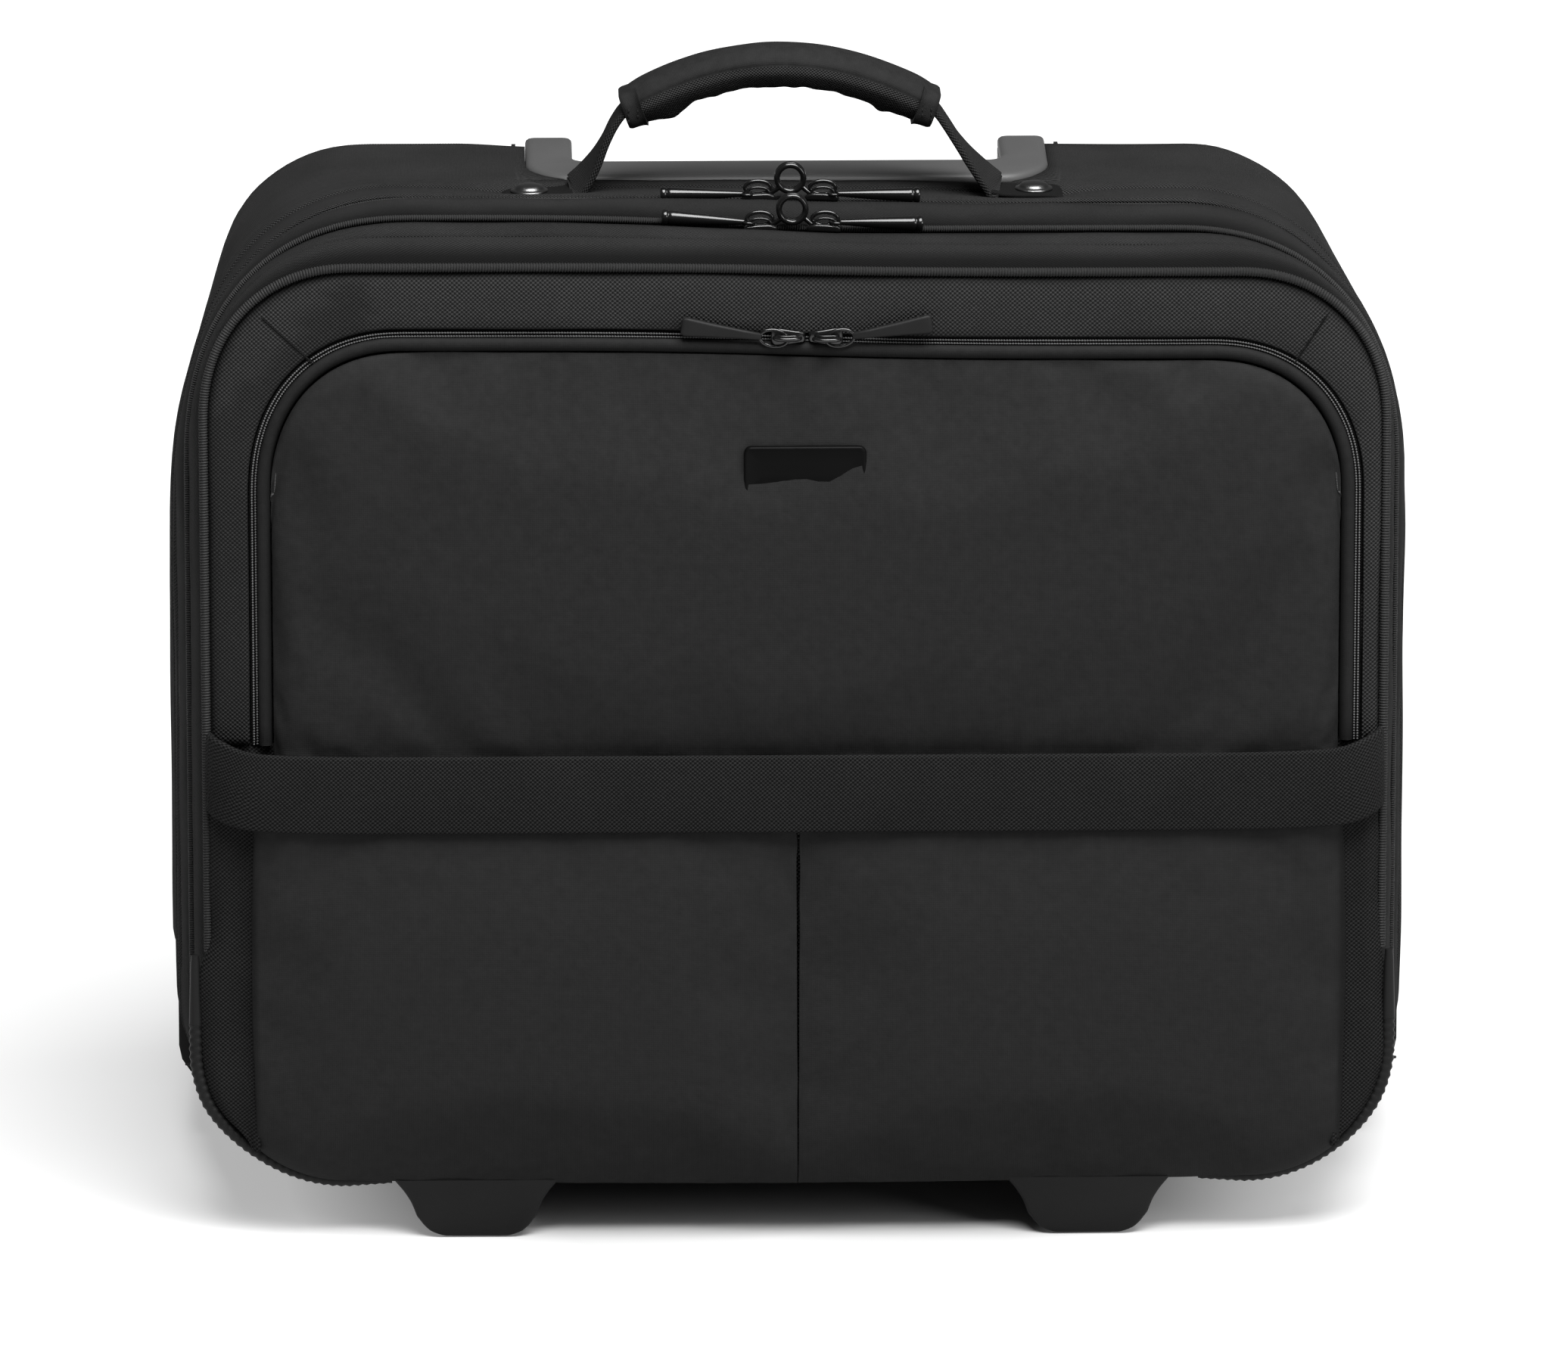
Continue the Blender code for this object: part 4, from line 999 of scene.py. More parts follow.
def make_rear():
    """The rear section's soft shell, open round the trolley recess and over the wheels."""
    profile = ((0.0010, -0.0014), (0.0012, 0.0), (0.0022, 0.0006), (0.0060, 0.0008), (0.0120, 0.0005),
               (0.0172, 0.0004), (0.0184, -0.0005), (0.0190, -0.0006), (0.0202, 0.0006), (0.0240, 0.0009),
               (NOTCH_Y, 0.0004), (ROOM_Y, 0.0004), (0.0320, 0.0005), (0.0345, 0.0005), (0.0370, 0.0006),
               (0.0400, 0.0006), (0.0440, 0.0006), (0.0500, 0.0006), (0.0620, 0.0005), (0.0740, 0.0004),
               (0.0850, 0.0), (BACK_EDGE, -0.0006), (BACK_EDGE + 0.0022, -0.0026),
               (BACK_WALL - 0.0010, -0.0050), (BACK_WALL, -0.0080))
    depth = np.array([y for y, _ in profile])
    rows = np.array([in_space(rear_line(min(y, BACK_EDGE), grow), y) for y, grow in profile])
    weave = grid_weave(rows)
    brim = (np.abs(np.abs(rows[..., 0]) - NOTCH_X) < 1e-4) & (rows[..., 2] > 0.30)
    behind = np.clip((GRIP_CORNER[1] + NOTCH_Y - rows[..., 1]) / GRIP_CORNER[1], 0.0, 1.0)
    inward = GRIP_CORNER[0] * (1 - np.sqrt(1 - behind ** 2)) * (rows[..., 1] > NOTCH_Y)
    rows[..., 0] -= np.sign(rows[..., 0]) * np.where(brim, inward, 0.0)
    rows = rumple(rows, 0.045, 0.0007, 21.0, 1)
    aside = (np.abs(rows[..., 0] - RIVET_MIDDLE) - RIVET_X) / 0.020
    pressed = np.exp(-aside ** 2) * np.exp(-((rows[..., 1] - HANDLE_Y) / 0.009) ** 2)
    rows[..., 2] -= 0.0032 * pressed * ease(rows[..., 2], 0.34, 0.355)

    def keep(i, j):
        x, _, z = (rows[i, j] + rows[i, j + 1]) / 2
        y = (depth[i] + depth[i + 1]) / 2
        within = np.abs(rows[0, j:j + 2, 0]).max() < NOTCH_X + 1e-4
        in_notch = within and y > NOTCH_Y and z > 0.30
        in_room = abs(x) > ROOM_X and y > ROOM_Y and z < ROOM_TOP
        return not (in_notch or in_room)

    surface("rear_body", rows, "nylon", "rear_case", CLOTH, keep=keep, slot="canvas", inner="lining",
            weave=weave, replaces=("rear_shell",))
    make_back_panel()


def make_back_panel():
    """The back: a padded panel below the trolley recess and between the wheel housings."""
    half = station_at(BACK_EDGE)[0] - BACK_INSET
    stretches = ((-half + 0.0002, -ROOM_X, 16), (-ROOM_X, -NOTCH_X, 16), (-NOTCH_X, NOTCH_X, 40),
                 (NOTCH_X, ROOM_X, 16), (ROOM_X, half - 0.0002, 16))
    for number, (start, end, count) in enumerate(stretches):
        columns = []
        for x in np.linspace(start, end, count):
            low = edge_height(BACK_EDGE, -BACK_INSET, x, False)
            if abs(start + end) / 2 > ROOM_X:
                low = max(low, ROOM_TOP)
            high = NOTCH_FLOOR if start == -end else edge_height(BACK_EDGE, -BACK_INSET, x, True)
            column = []
            for z in np.linspace(low, high, 60):
                inside = min(max(z - 0.030, 0.0), max(0.345 - z, 0.0), max(0.212 - abs(x), 0.0))
                puff = 0.0016 * (1 - math.exp(-inside / 0.010))
                column.append((x, BACK_WALL + puff, z))
            columns.append(column)
        rows = lean(from_columns(columns))
        surface(f"back_panel_{number + 1}", rows, "nylon", "rear_case", CLOTH, slot="canvas",
                weave=flat_weave(rows))


def make_rear_trim():
    """Ribbed piping round the back on each side of the recess."""
    for side, sign in SIDES:
        path = arch(BACK_EDGE, 0.080, -0.0036, 0.0962)
        path = path[path[:, 0] * sign > 0.1020]
        sweep("rear_piping_" + side, path, disc(0.0019, 10), "cord", "rear_case", ribs=(0.00098, 0.05),
              taper=((0, 0.3), (0.03, 1), (0.97, 1), (1, 0.3)), slot="piping",
              replaces=("rear_piping_" + side,))


def make_zip(name, y, body, coil_size, sunk, strip):
    """A zip over the top and sides: its two tapes, its coil, and the cloth hinge under it."""
    edges = ((y - 0.0062, -0.0002), (y - 0.0030, -0.0008), (y, -0.0010), (y + 0.0030, -0.0008),
             (y + 0.0062, -0.0002))
    rows = [arch(depth, ZIP_END, grow - sunk) for depth, grow in edges]
    surface(name + "_tape", rows, "tape", body, 0.0006, slot="zip", replaces=(name,))
    path = arch(y, ZIP_END, coil_size[1] - sunk - 0.0010)
    sweep(name + "_coil", path, disc(coil_size[0], 10, coil_size[1] / coil_size[0]), "coil", body,
          ribs=(0.00084, 0.28), slot="zip")
    rows = [trough(depth, ZIP_END, 0.0002) for depth in np.linspace(y - 0.0060, y + 0.0060, 9)]
    piece = surface(strip, rows, "nylon", None, 0.0008, slot="canvas", replaces=(strip,))
    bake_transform(piece)


# ---------------------------------------------------------------- turned and closed shapes

def outward_faces(points, faces):
    """Faces of a closed shape, turned so that they face out."""
    volume = 0.0
    for face in faces:
        a = points[face[0]]
        for second, third in zip(face[1:], face[2:]):
            volume += float(np.dot(a, np.cross(points[second], points[third])))
    return faces if volume > 0 else [tuple(reversed(face)) for face in faces]


def closed_rows(name, rows, material, body, **words):
    """A closed shape through rings of points, with both ends capped."""
    rows = np.asarray(rows, float)
    points = rows.reshape(-1, 3)
    faces = outward_faces(points, capped(*rows.shape[:2]))
    return add_piece(name, points, faces, material, body, **words)


def lathe(name, profile, centre, axis, material, body, sides=48, **words):
    """A profile of (radius, distance along the axis) turned about an axis through a centre."""
    axis = np.asarray(axis, float)
    first = np.array((0.0, 1.0, 0.0)) if abs(axis[1]) < 0.5 else np.array((1.0, 0.0, 0.0))
    second = np.cross(axis, first)
    turn = np.arange(sides) * 2 * math.pi / sides
    spokes = np.cos(turn)[:, None] * first + np.sin(turn)[:, None] * second
    rows = [np.asarray(centre) + axis * along + spokes * max(radius, 1e-5) for radius, along in profile]
    return closed_rows(name, rows, material, body, **words)


def seated(piece, place, sign, front, body, tilt=0.0):
    """Puts a piece made about its own origin, X outwards along the zip and Z up from it."""
    turn = Matrix.Rotation(sign * tilt, 4, 'Z') if front else Matrix.Rotation(-tilt, 4, 'Y')
    axes = ((sign, 0, 0), (0, 0, -1), (0, sign, 0)) if front else ((sign, 0, 0), (0, sign, 0), (0, 0, 1))
    piece.data.transform(Matrix.Translation(place) @ Matrix(axes).to_4x4() @ turn)
    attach(piece, body)


# ---------------------------------------------------------------- zip sliders and pulls

PIVOT = (0.0140, 0.0034)
PULL_LENGTH = 0.0325
RING_R = 0.00475
RING_UP = 0.0078

# For each zip: whether it has padlock rings, the shift of its sliders, and of its pulls
ZIP_SETS = {
    "main": (True, (0.0, 0.0, 0.0), (0.0, -0.0015, -0.0012)),
    "laptop": (True, (0.0, -0.0020, -0.0022), (0.0, -0.0035, -0.0024)),
    "pocket": (False, (-0.0046, 0.0, 0.0006), (-0.0019, 0.0010, 0.0004)),
}
PULL_TILTS = {("laptop", "left"): 4.0, ("pocket", "left"): 8.0, ("pocket", "right"): 9.0,
              ("main", "right"): -1.0, ("laptop", "right"): -1.0}


def oval(centre, first, second, count):
    """A closed path about a centre, from its two half axes."""
    turn = np.linspace(0, 2 * math.pi, count)[:, None]
    return np.array(centre) + np.cos(turn) * np.array(first) + np.sin(turn) * np.array(second)


def slider_parts(name, ring):
    """Body, bridge, link and padlock ring of one slider, about its own origin."""
    rows = []
    for x, half, high in ((0.0052, 0.0014, 0.0018), (0.0060, 0.0020, 0.0024), (0.0085, 0.0022, 0.0028),
                          (0.0120, 0.0028, 0.0028), (0.0158, 0.0034, 0.0026), (0.0170, 0.0032, 0.0022),
                          (0.0173, 0.0028, 0.0018)):
        section = bar(half, high / 2 - 0.0001, 0.0007)
        rows.append([(x, py, high / 2 - 0.0003 + pz) for py, pz in section])
    made = [closed_rows(name + "_plate", rows, "gloss", None)]
    turn = np.linspace(0, math.pi, 16)
    path = np.stack([0.0116 - 0.0040 * np.cos(turn), 0 * turn, 0.0020 + 0.0024 * np.sin(turn) ** 0.7], axis=1)
    made.append(sweep(name + "_bridge", path, bar(0.0012, 0.0005, 0.0004, 3), "gloss", None))
    path = oval((0.0116, -0.0002, 0.0042), (-0.0046, 0, 0), (0, 0, 0.0024), 41)
    made.append(sweep(name + "_link", path, disc(0.00075, 10), "gloss", None))
    if ring:
        path = oval((0, 0.0012, RING_UP), (RING_R, 0, 0), (0, 0, RING_R), 41)
        made.append(sweep(name + "_ring", path, disc(0.00105, 12), "gloss", None))
        path = np.array(((0.0040, 0.0010, 0.0045), (0.0052, 0.0006, 0.0035), (0.0070, 0.0, 0.0022)))
        made.append(sweep(name + "_stalk", path, disc(0.0009, 8), "gloss", None))
    return made


def pull_parts(name):
    """A tapered bar with a capped end, and the eye that holds it on its link."""
    profile = ((0.0002, 0.0030), (0.0010, 0.0032), (0.0012, 0.0060), (0.0015, 0.0100), (0.0019, 0.0160),
               (0.0022, 0.0220), (0.0025, 0.0284), (0.0026, 0.0296), (0.0023, 0.0299), (0.0023, 0.0302),
               (0.0027, 0.0305), (0.0028, 0.0317), (0.0025, 0.0323), (0.0015, PULL_LENGTH))
    made = [lathe(name + "_bar", profile, (0, 0, 0), (1, 0, 0), "gloss", None, 28)]
    path = oval((0.0015, 0, 0), (0.0020, 0, 0), (0, 0.0020, 0), 29)
    made.append(sweep(name + "_eye", path, disc(0.0006, 8), "gloss", None, across=(0, 0, 1)))
    return made


def tab_parts(name):
    """A flat tapered tab with a rounded end, and the link that holds it."""
    rows = []
    for x, half, thick in ((0.0040, 0.0009, 0.0006), (0.0046, 0.0013, 0.0010), (0.0110, 0.0017, 0.0012),
                           (0.0220, 0.0026, 0.0014), (0.0292, 0.0033, 0.0014), (0.0312, 0.0034, 0.0013),
                           (0.0322, 0.0029, 0.0010), (PULL_LENGTH, 0.0022, 0.0006)):
        rows.append([(x, py, pz) for pz, py in bar(thick, half, min(thick, half) * 0.8)])
    made = [closed_rows(name + "_tab", rows, "moulded", None)]
    path = oval((-0.0004, 0, 0), (0.0050, 0, 0), (0, 0.0030, 0), 33)
    made.append(sweep(name + "_link", path, disc(0.00065, 8), "gloss", None, across=(0, 0, 1)))
    return made


def make_sliders():
    """A pair of sliders on each zip, set where their own nodes are."""
    for (zip_name, (ring, shift, pull_shift)), (side, sign) in product(ZIP_SETS.items(), SIDES):
        front = zip_name == "pocket"
        slider = f"slider_{zip_name}_{side}"
        pull = f"pull_{zip_name}_{side}"
        low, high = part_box(slider)
        edge = high.x if sign > 0 else low.x
        depth = {"main": ZIP_MAIN_Y, "laptop": ZIP_LAPTOP_Y, "pocket": high.y}[zip_name]
        height = (low.z + high.z) / 2 if front else low.z
        base = Vector((edge - sign * 0.0175, depth, height))
        parts = slider_parts(slider, ring)
        for part in parts:
            seated(part, base + Vector((sign * shift[0], *shift[1:])), sign, front, slider)
        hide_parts(slider)
        up = Vector((0, -PIVOT[1], 0)) if front else Vector((0, 0, PIVOT[1]))
        pivot = base + up + Vector((sign * (PIVOT[0] + pull_shift[0]), *pull_shift[1:]))
        tilt = math.radians(PULL_TILTS.get((zip_name, side), 0.0))
        parts = tab_parts(pull) if front else pull_parts(pull)
        for part in parts:
            seated(part, pivot, sign, front, pull, tilt)
        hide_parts(pull)


# ---------------------------------------------------------------- carry handle

def sleeve_height(x):
    """Height of the sleeve's middle line at a distance from the handle's middle."""
    return SLEEVE_TOP - SLEEVE_DROP * (x / SLEEVE_HALF) ** 2


def make_sleeve():
    """The padded sleeve: smooth cloth over the top and twill round the front and the wavy underside."""
    count, sides = 150, 60
    xs = np.linspace(SLEEVE_HALF - 0.001, -SLEEVE_HALF + 0.001, count)
    path = np.stack([HANDLE_X + xs, np.full(count, HANDLE_Y), sleeve_height(xs)], axis=1)
    outward = np.cross((0.0, 1.0, 0.0), directions(path))
    turn = np.linspace(0, 2 * math.pi, sides, endpoint=False)
    rows = np.zeros((count, sides, 3))
    for i, x in enumerate(xs):
        end = min(1.0, (SLEEVE_HALF - abs(x)) / 0.010)
        full = 0.84 + 0.16 * math.sin(end * math.pi / 2)
        waves = noise.noise(Vector((x * 110, 0.3, 5.0))) + 0.5 * noise.noise(Vector((x * 260, 4.0, 1.0)))
        lobe = 0.0026 * math.exp(-((x + 0.0420) / 0.0050) ** 2)
        lobe += 0.0013 * math.exp(-((x - 0.0385) / 0.0030) ** 2)
        for j, angle in enumerate(turn):
            across = 0.0110 * full * math.copysign(abs(math.cos(angle)) ** 0.85, math.cos(angle))
            rise = 0.0076 * full * math.copysign(abs(math.sin(angle)) ** 0.85, math.sin(angle))
            degrees = math.degrees(angle)
            below = math.exp(-((degrees - 255) / 22) ** 2)
            rise -= below * (0.0003 + 0.0007 * waves + lobe)
            across *= 1 + 0.05 * math.exp(-((degrees - SMOOTH_TO - 14) / 12) ** 2)
            across += 0.0007 * math.exp(-((degrees - SMOOTH_TO) / 5) ** 2)
            ripple = noise.noise(Vector((x * 70, math.cos(angle) * 1.2, math.sin(angle) * 1.2)))
            across *= 1 + 0.035 * ripple
            rise *= 1 + 0.025 * ripple
            rows[i, j] = path[i] + outward[i] * rise + np.array((0.0, across, 0.0))
    weave = np.zeros((count, sides, 3))
    weave[..., 0] = run_length(path)[:, None]
    weave[..., 1] = run_length(rows[count // 2])[None, :]
    sleeve = closed_rows("handle_sleeve", rows, "nylon", "carry_handle", slot="canvas", weave=weave,
                         replaces=("handle_sleeve",))
    sleeve.data.materials.append(MATERIALS["panel"])
    for number, face in enumerate(sleeve.data.polygons):
        if math.degrees(turn[number % sides]) < SMOOTH_TO:
            face.material_index = 1


def make_ears(side, sign):
    """The stitched collar at the end of the sleeve."""
    xs = np.linspace(SLEEVE_HALF - 0.0060, SLEEVE_HALF + 0.0004, 10)
    heights = sleeve_height(SLEEVE_HALF - 0.002) - (xs - SLEEVE_HALF + 0.002) * 0.35
    path = np.stack([HANDLE_X + sign * xs, np.full(10, HANDLE_Y), heights], axis=1)
    flare = ((0, 0.93), (0.15, 1.0), (0.6, 1.0), (0.85, 1.03), (1, 1.10))
    if sign > 0:
        path = path[::-1]
    else:
        flare = tuple((1 - share, size) for share, size in reversed(flare))
    sweep("handle_ear_" + side, path, bar(0.0112, 0.0066, 0.0048, 6), "panel", "carry_handle",
          slot="canvas", taper=flare)
    for number, inset in enumerate((0.0012, 0.0044)):
        x = HANDLE_X + sign * (SLEEVE_HALF - inset)
        z = float(sleeve_height(SLEEVE_HALF - inset))
        line = np.array([(x, HANDLE_Y - 0.0113, z + up) for up in np.linspace(-0.0046, 0.0040, 8)])
        stitches(f"ear_stitches_{side}_{number + 1}", line, (0, -1, 0), "thread_dark", "carry_handle",
                 pitch=0.0019, length=0.0013, slot="canvas")


def webbing_leg():
    """Right leg of the webbing, from its base up into the sleeve, about the handle's middle."""
    leg = [(0.0748, 0.3592), (0.0735, 0.3600), (0.0716, 0.3622), (0.0690, 0.3655), (0.0655, 0.3710),
           (0.0626, 0.3768), (0.0594, 0.3835), (0.0556, 0.3888), (0.0500, 0.3925)]
    return smooth_line([(x, HANDLE_Y, z) for x, z in leg], 6)


def make_webbing():
    """The webbing's legs, from their feet on the case up into the handle above them; they ride no body."""
    for side, sign in SIDES:
        path = webbing_leg() * (sign, 1, 1) + (HANDLE_X, 0, 0)
        if sign > 0:
            path[:, 0] += 0.0040 * (1 - ease(path[:, 2], HINGE_Z, 0.3860))
        if sign < 0:
            path = path[::-1]
        share = np.clip((path[:, 2] - HINGE_Z) / 0.018, 0, 1)
        spin = np.radians(24.0) * (1 - share) ** 1.5 * sign
        across = np.stack([np.sin(spin), np.cos(spin), 0 * spin], axis=1)
        leg = sweep("handle_webbing_" + side, path, bar(0.0096, 0.0012, 0.0009), "webbing", None,
                    across=across, slot="canvas", replaces=("handle_webbing",) if sign > 0 else ())
        near = path[:, 2] < HINGE_Z + 0.022
        low, turned = path[near], across[near]
        outward = np.cross(turned, directions(low))
        line = low - turned * 0.0080 + outward * 0.0012
        thread = stitches(f"webbing_stitches_{side}", line, outward, "thread_dark", None,
                          pitch=0.0021, length=0.0015, radius=0.00028, slot="canvas")
        for piece in (leg, thread):
            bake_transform(piece)


def make_anchors():
    """The webbing's flat ends on the case, under a domed rivet each."""
    for side, sign in SIDES:
        low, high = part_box("rivet_" + side)
        centre_x = (low.x + high.x) / 2
        line = [(RIVET_MIDDLE + sign * x, HANDLE_Y, ANCHOR_Z + up) for x, up in
                ((0.0750, 0.0014), (0.0790, 0.0006), (0.0850, 0.0002), (0.0950, 0.0), (0.0992, -0.0004),
                 (0.1004, -0.0012))]
        path = resample(smooth_line(line), 30)
        if sign > 0:
            path = path[::-1]
        sweep("strap_anchor_" + side, path, bar(0.0092, 0.0007, 0.0006), "tape", "rear_case",
              slot="canvas")
        profile = ((0.0, 0.0), (0.0066, 0.0), (0.0068, 0.0004), (0.0066, 0.0009), (0.0060, 0.0011),
                   (0.0055, 0.0012), (0.0052, 0.0017), (0.0045, 0.0024), (0.0032, 0.0028), (0.0015, 0.0030),
                   (0.0, 0.0031))
        lathe("rivet_dome_" + side, profile, (centre_x, HANDLE_Y, ANCHOR_Z + 0.0006), (0, 0, 1), "rivet",
              "rear_case", slot="rivet", replaces=("rivet_" + side,))


# ---------------------------------------------------------------- trolley grip

def grip_plan(inset):
    """Plan of the grip: a bar in front with wide rounded corners and an arm back at each end."""
    low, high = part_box("grip_upper")
    half = high.x - inset
    inner = high.x - 0.0170 + inset
    front = low.y + inset
    bar_back = low.y + 0.0265 - inset
    back = high.y - inset
    outer_x, outer_y = GRIP_CORNER[0] - inset, GRIP_CORNER[1] - inset
    inner_x, inner_y = 0.0050 + inset, 0.0100 + inset
    right = [(half - outer_x + outer_x * math.sin(t), front + outer_y - outer_y * math.cos(t))
             for t in np.linspace(0, math.pi / 2, 18)]
    right += [(half - x, back - y) for x, y in ((0.0, 0.0015), (0.0004, 0.0004), (0.0015, 0.0))]
    right += [(inner + x, back - y) for x, y in ((0.0015, 0.0), (0.0004, 0.0004), (0.0, 0.0015))]
    right += [(inner - inner_x + inner_x * math.cos(t), bar_back + inner_y - inner_y * math.sin(t))
              for t in np.linspace(0, math.pi / 2, 12)]
    return right + [(-x, y) for x, y in reversed(right)]


def make_grip():
    """The grip's upper shell, with every edge rounded."""
    low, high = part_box("grip_upper")
    levels = ((low.z, 0.0010), (low.z + 0.0003, 0.0003), (low.z + 0.0008, 0.0), (high.z - 0.0022, 0.0),
              (high.z - 0.0012, 0.0003), (high.z - 0.0005, 0.0010), (high.z - 0.0001, 0.0020),
              (high.z, 0.0032))
    rows = [[(x, y, z) for x, y in grip_plan(inset)] for z, inset in levels]
    closed_rows("grip_top", rows, "grip", "trolley_grip", slot="grip_plastic", replaces=("grip_upper",))


# ---------------------------------------------------------------- wheels and feet

def make_wheel(side):
    """A grooved tyre on a hub with five spokes on each face."""
    low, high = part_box("tyre_" + side)
    centre = (low + high) / 2
    half = (high.x - low.x) / 2
    radius = (high.z - low.z) / 2
    profile = [(0.0235, half - 0.002), (0.0255, half - 0.0012), (0.0290, half - 0.0010),
               (0.0312, half - 0.0012), (0.0324, half - 0.0020), (0.0331, half - 0.0036),
               (radius, half - 0.0060)]
    tread = []
    for groove in (0.0040, 0.0, -0.0040):
        tread += [(radius, groove + 0.0011), (radius - 0.0009, groove + 0.0006),
                  (radius - 0.0009, groove - 0.0006), (radius, groove - 0.0011)]
    profile = profile + tread + [(r, -z) for r, z in reversed(profile)]
    turned_ring("tyre_tread_" + side, profile, centre, "rubber", "wheel_" + side, "tyre",
                ("tyre_" + side,))
    hub = [(0.0034, half), (0.0068, half), (0.0078, half - 0.0008), (0.0084, half - 0.0050),
           (0.0190, half - 0.0060), (0.0204, half - 0.0024), (0.0222, half - 0.0018),
           (0.0232, half - 0.0026)]
    hub = hub + [(r, -z) for r, z in reversed(hub)]
    turned_ring("hub_disc_" + side, hub, centre, "grip", "wheel_" + side, "grip_plastic", ("hub_" + side,))
    for spoke, (end, face) in product(range(5), (("in", -1), ("out", 1))):
        angle = 2 * math.pi * spoke / 5
        direction = np.array((0.0, math.cos(angle), math.sin(angle)))
        inner = np.array(centre) + direction * 0.0075 + (face * (half - 0.0036), 0, 0)
        outer = np.array(centre) + direction * 0.0200 + (face * (half - 0.0042), 0, 0)
        sweep(f"hub_spoke_{side}_{spoke + 1}_{end}", np.linspace(inner, outer, 5),
              bar(0.0018, 0.0020, 0.0007, 3), "grip", "wheel_" + side,
              across=np.cross((1.0, 0, 0), direction), slot="grip_plastic")


def turned_ring(name, profile, centre, material, body, slot_name, replaced):
    """A closed profile turned about the wheel's axis."""
    sides = 72
    turn = np.arange(sides + 1) * 2 * math.pi / sides
    rows = np.array([[(centre.x + z, centre.y + r * math.cos(t), centre.z + r * math.sin(t))
                      for r, z in profile] for t in turn])
    faces = quads(sides + 1, len(profile), wrap=True)
    points = rows.reshape(-1, 3)
    add_piece(name, points, outward_faces(points, faces), material, body, slot=slot_name,
              replaces=replaced)


def make_foot(side):
    """A flared moulded foot with softened edges."""
    low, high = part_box("foot_" + side)
    middle = (low.x + high.x) / 2
    top = high.z
    half = [(0.0085, 0.0), (0.0123, 0.0005), (0.0150, 0.0013), (0.0168, 0.0022), (0.0188, 0.0041),
            (0.0201, 0.0058), (0.0214, 0.0076), (0.0223, 0.0100), (0.0233, 0.0124), (0.0243, 0.0142),
            (0.0260, 0.0168), (0.0282, 0.0195), (0.0295, top)]
    half = smooth_line([(x, z, 0.0) for x, z in half], 4)[:, :2]
    rows = []
    for y, inset in ((low.y, 0.0016), (low.y + 0.0004, 0.0006), (low.y + 0.0014, 0.0),
                     (high.y - 0.0014, 0.0), (high.y - 0.0004, 0.0006), (high.y, 0.0016)):
        right = [(middle + x - inset, y, max(z, inset * 0.6)) for x, z in half]
        left = [(middle - x + inset, y, max(z, inset * 0.6)) for x, z in half]
        rows.append(right + left[::-1])
    closed_rows("foot_block_" + side, rows, "moulded", "front_section", slot="moulded_plastic",
                replaces=("foot_" + side,), angle=60)


# ---------------------------------------------------------------- CAD nodes that stay

KEPT_FINISH = {
    "moulded": ("trolley_bezel", "trolley_foot_bracket", "wheel_housing_left", "wheel_housing_right",
                "release_button"),
    "grip": ("grip_lower",),
    "aluminium": ("outer_tube_left", "outer_tube_right", "mid_tube_left", "mid_tube_right",
                  "inner_tube_left", "inner_tube_right"),
    "steel": ("axle_left", "axle_right", "lock_rod_left", "lock_rod_right"),
    "lining": ("inner_back_board", "laptop_divider", "pocket_lining"),
}


def finish_kept_nodes():
    """Finishes on the modelled parts that are shown as they are."""
    for finish, names in KEPT_FINISH.items():
        for name in names:
            mesh = NODES[name].data
            mesh.materials.clear()
            mesh.materials.append(MATERIALS[finish])
            if finish == "lining":
                layer = mesh.attributes.new("weave", 'FLOAT_VECTOR', 'POINT')
                place = np.array([v.co for v in mesh.vertices], np.float32)
                layer.data.foreach_set("vector", flat_weave(place).astype(np.float32).ravel())


# ---------------------------------------------------------------- stage, light and camera

def make_stage():
    """A white floor that glows though it is no lamp: not under the case, so its shadow stays dark there,
    rising just beside it, where the glow paints the case's shadow lighter, and more far off where the
    softboxes do not reach.
    """
    mesh = bpy.data.meshes.new("floor")
    mesh.from_pydata([(-2.0, -2.0, 0), (2.0, -2.0, 0), (2.5, 6.0, 0), (-2.5, 6.0, 0)], [], [(0, 1, 2, 3)])
    floor = bpy.data.objects.new("floor", mesh)
    floor.location.z = -0.0002
    finish = Finish("floor", grey(0.42), 0.9, specular=0.05)
    finish.put("Emission Color", (1.0, 1.0, 1.0, 1.0))
    away = finish.distance(finish.place(), (1.25, 0.9, 0.0))
    # Painted light: this glow lightens the case's shadow on the floor beside it.
    near = finish.ramp(away, 0.13, 0.23, 0.42)
    far = finish.ramp(away, 0.45, 1.45, 0.50)
    finish.feed(finish.surface.inputs["Emission Strength"], finish.math('ADD', near, far))
    mesh.materials.append(finish.material)
    bpy.context.scene.collection.objects.link(floor)


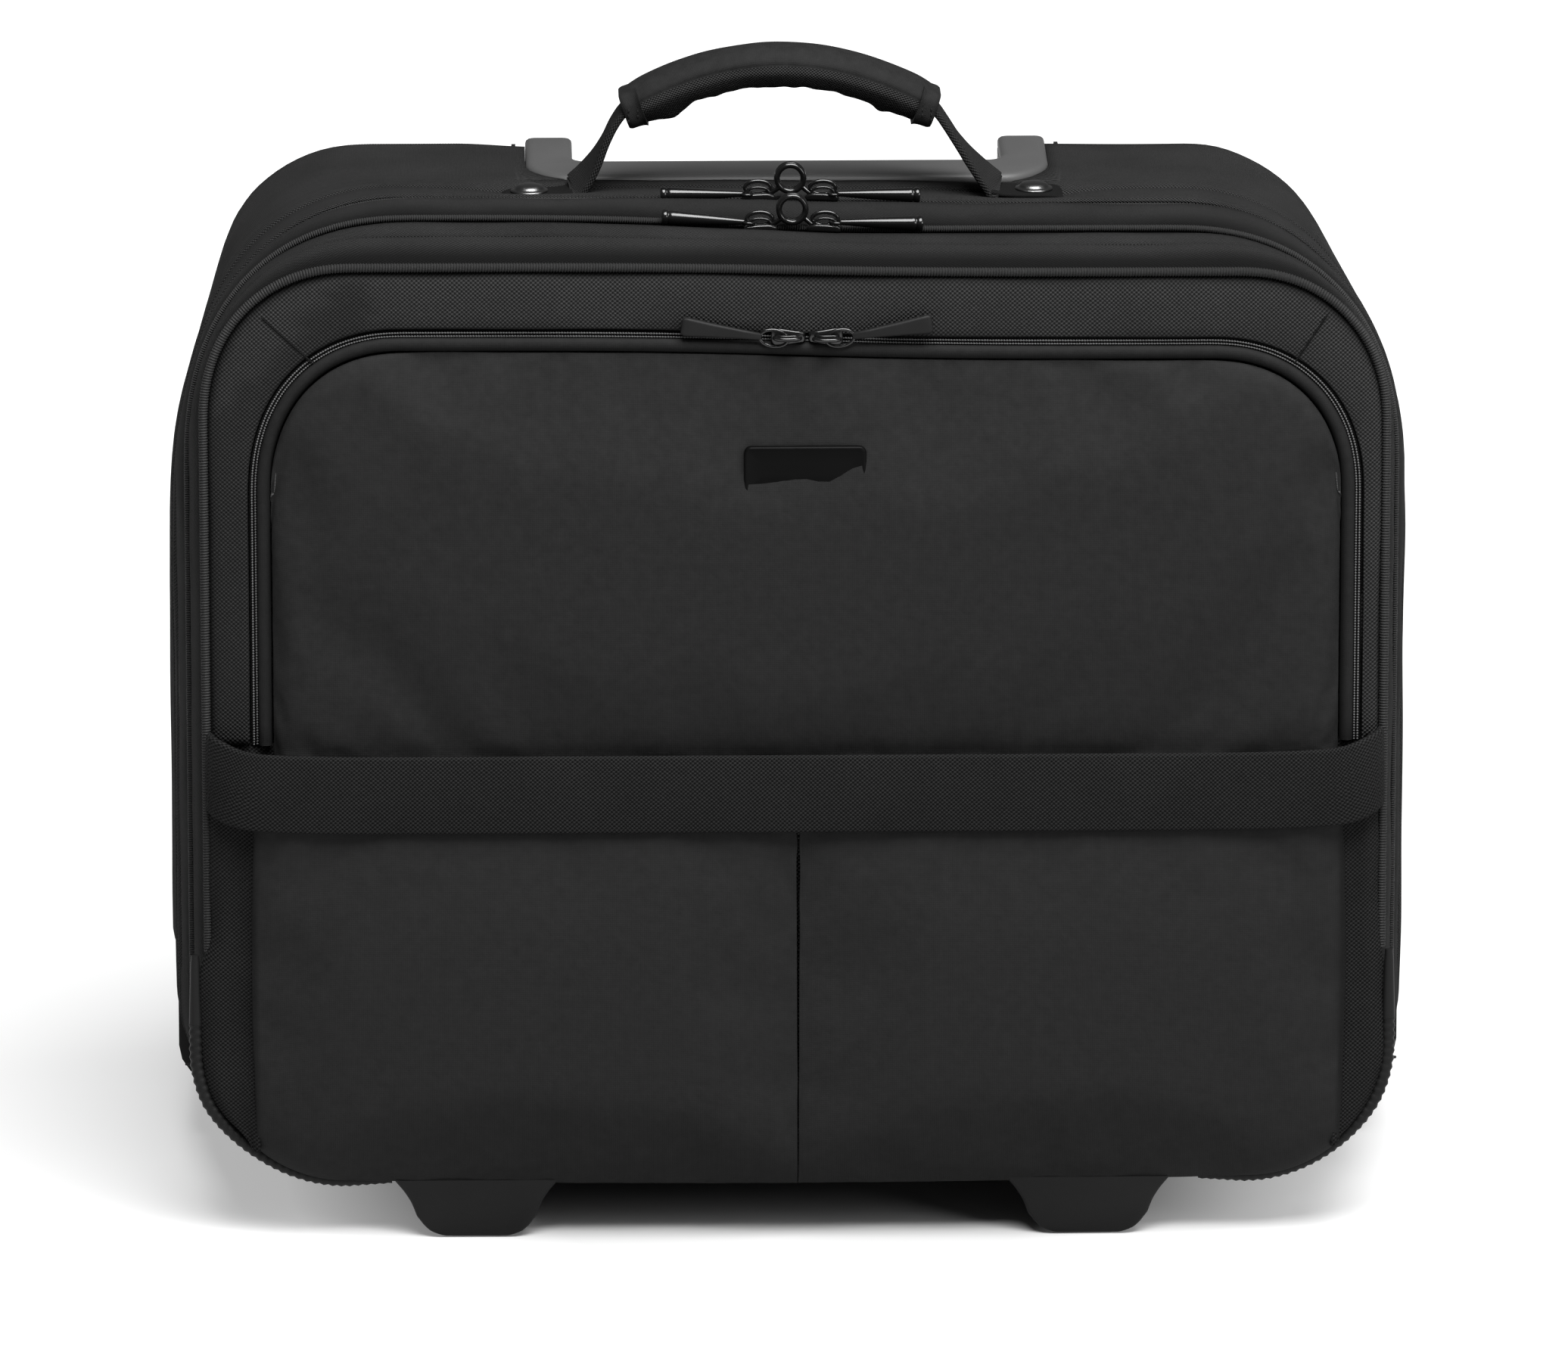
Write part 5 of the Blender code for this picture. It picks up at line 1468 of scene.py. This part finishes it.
def make_light(name, place, aim, size, power):
    data = bpy.data.lights.new(name, 'AREA')
    data.shape = 'RECTANGLE'
    data.size, data.size_y = size
    data.energy = power
    light = bpy.data.objects.new(name, data)
    light.location = place
    light.rotation_mode = 'QUATERNION'
    light.rotation_quaternion = (Vector(aim) - Vector(place)).to_track_quat('-Z', 'Y')
    bpy.context.scene.collection.objects.link(light)


def make_lights():
    """A dim white world, a large softbox above the front and a small one at the right."""
    world = bpy.data.worlds.new("studio")
    bpy.context.scene.world = world
    world.use_nodes = True
    background = world.node_tree.nodes["Background"]
    background.inputs["Color"].default_value = (1.0, 1.0, 1.0, 1.0)
    background.inputs["Strength"].default_value = 0.15
    make_light("top_softbox", (0.35, -1.0, 2.4), (0.0, 0.0, 0.1), (2.0, 1.6), 190)
    make_light("right_softbox", (2.2, -2.0, 1.3), (0.0, 0.0, 0.2), (1.0, 1.2), 28)
    bpy.context.scene.view_settings.view_transform = 'Standard'


def make_camera():
    """A long lens from the front, a little above the case."""
    data = bpy.data.cameras.new("camera")
    data.sensor_width = 36.0
    data.lens = 329.0
    data.clip_end = 100.0
    camera = bpy.data.objects.new("camera", data)
    camera.location = (-0.1069, -4.9989, 1.5)
    camera.rotation_euler = (math.radians(90.0 - 14.76), 0.0, math.radians(-1.2))
    bpy.context.scene.collection.objects.link(camera)
    bpy.context.scene.camera = camera


# ---------------------------------------------------------------- all of it

MATERIALS = make_materials()
make_camera()
make_stage()
make_lights()
make_front_gusset()
make_front_wall()
make_front_trim()
make_zip_pocket()
make_flap()
make_badge()
make_band()
make_lower_pocket()
make_middle()
make_rear()
make_rear_trim()
make_zip("zip_main", ZIP_MAIN_Y, "rear_case", (0.0016, 0.0010), 0.0010, "hinge_strip_main")
make_zip("zip_laptop", ZIP_LAPTOP_Y, "middle_section", (0.0020, 0.0013), 0.0, "hinge_strip_front")
make_sliders()
make_sleeve()
for side_name, side_sign in SIDES:
    make_ears(side_name, side_sign)
    make_wheel(side_name)
    make_foot(side_name)
make_webbing()
make_anchors()
make_grip()
finish_kept_nodes()
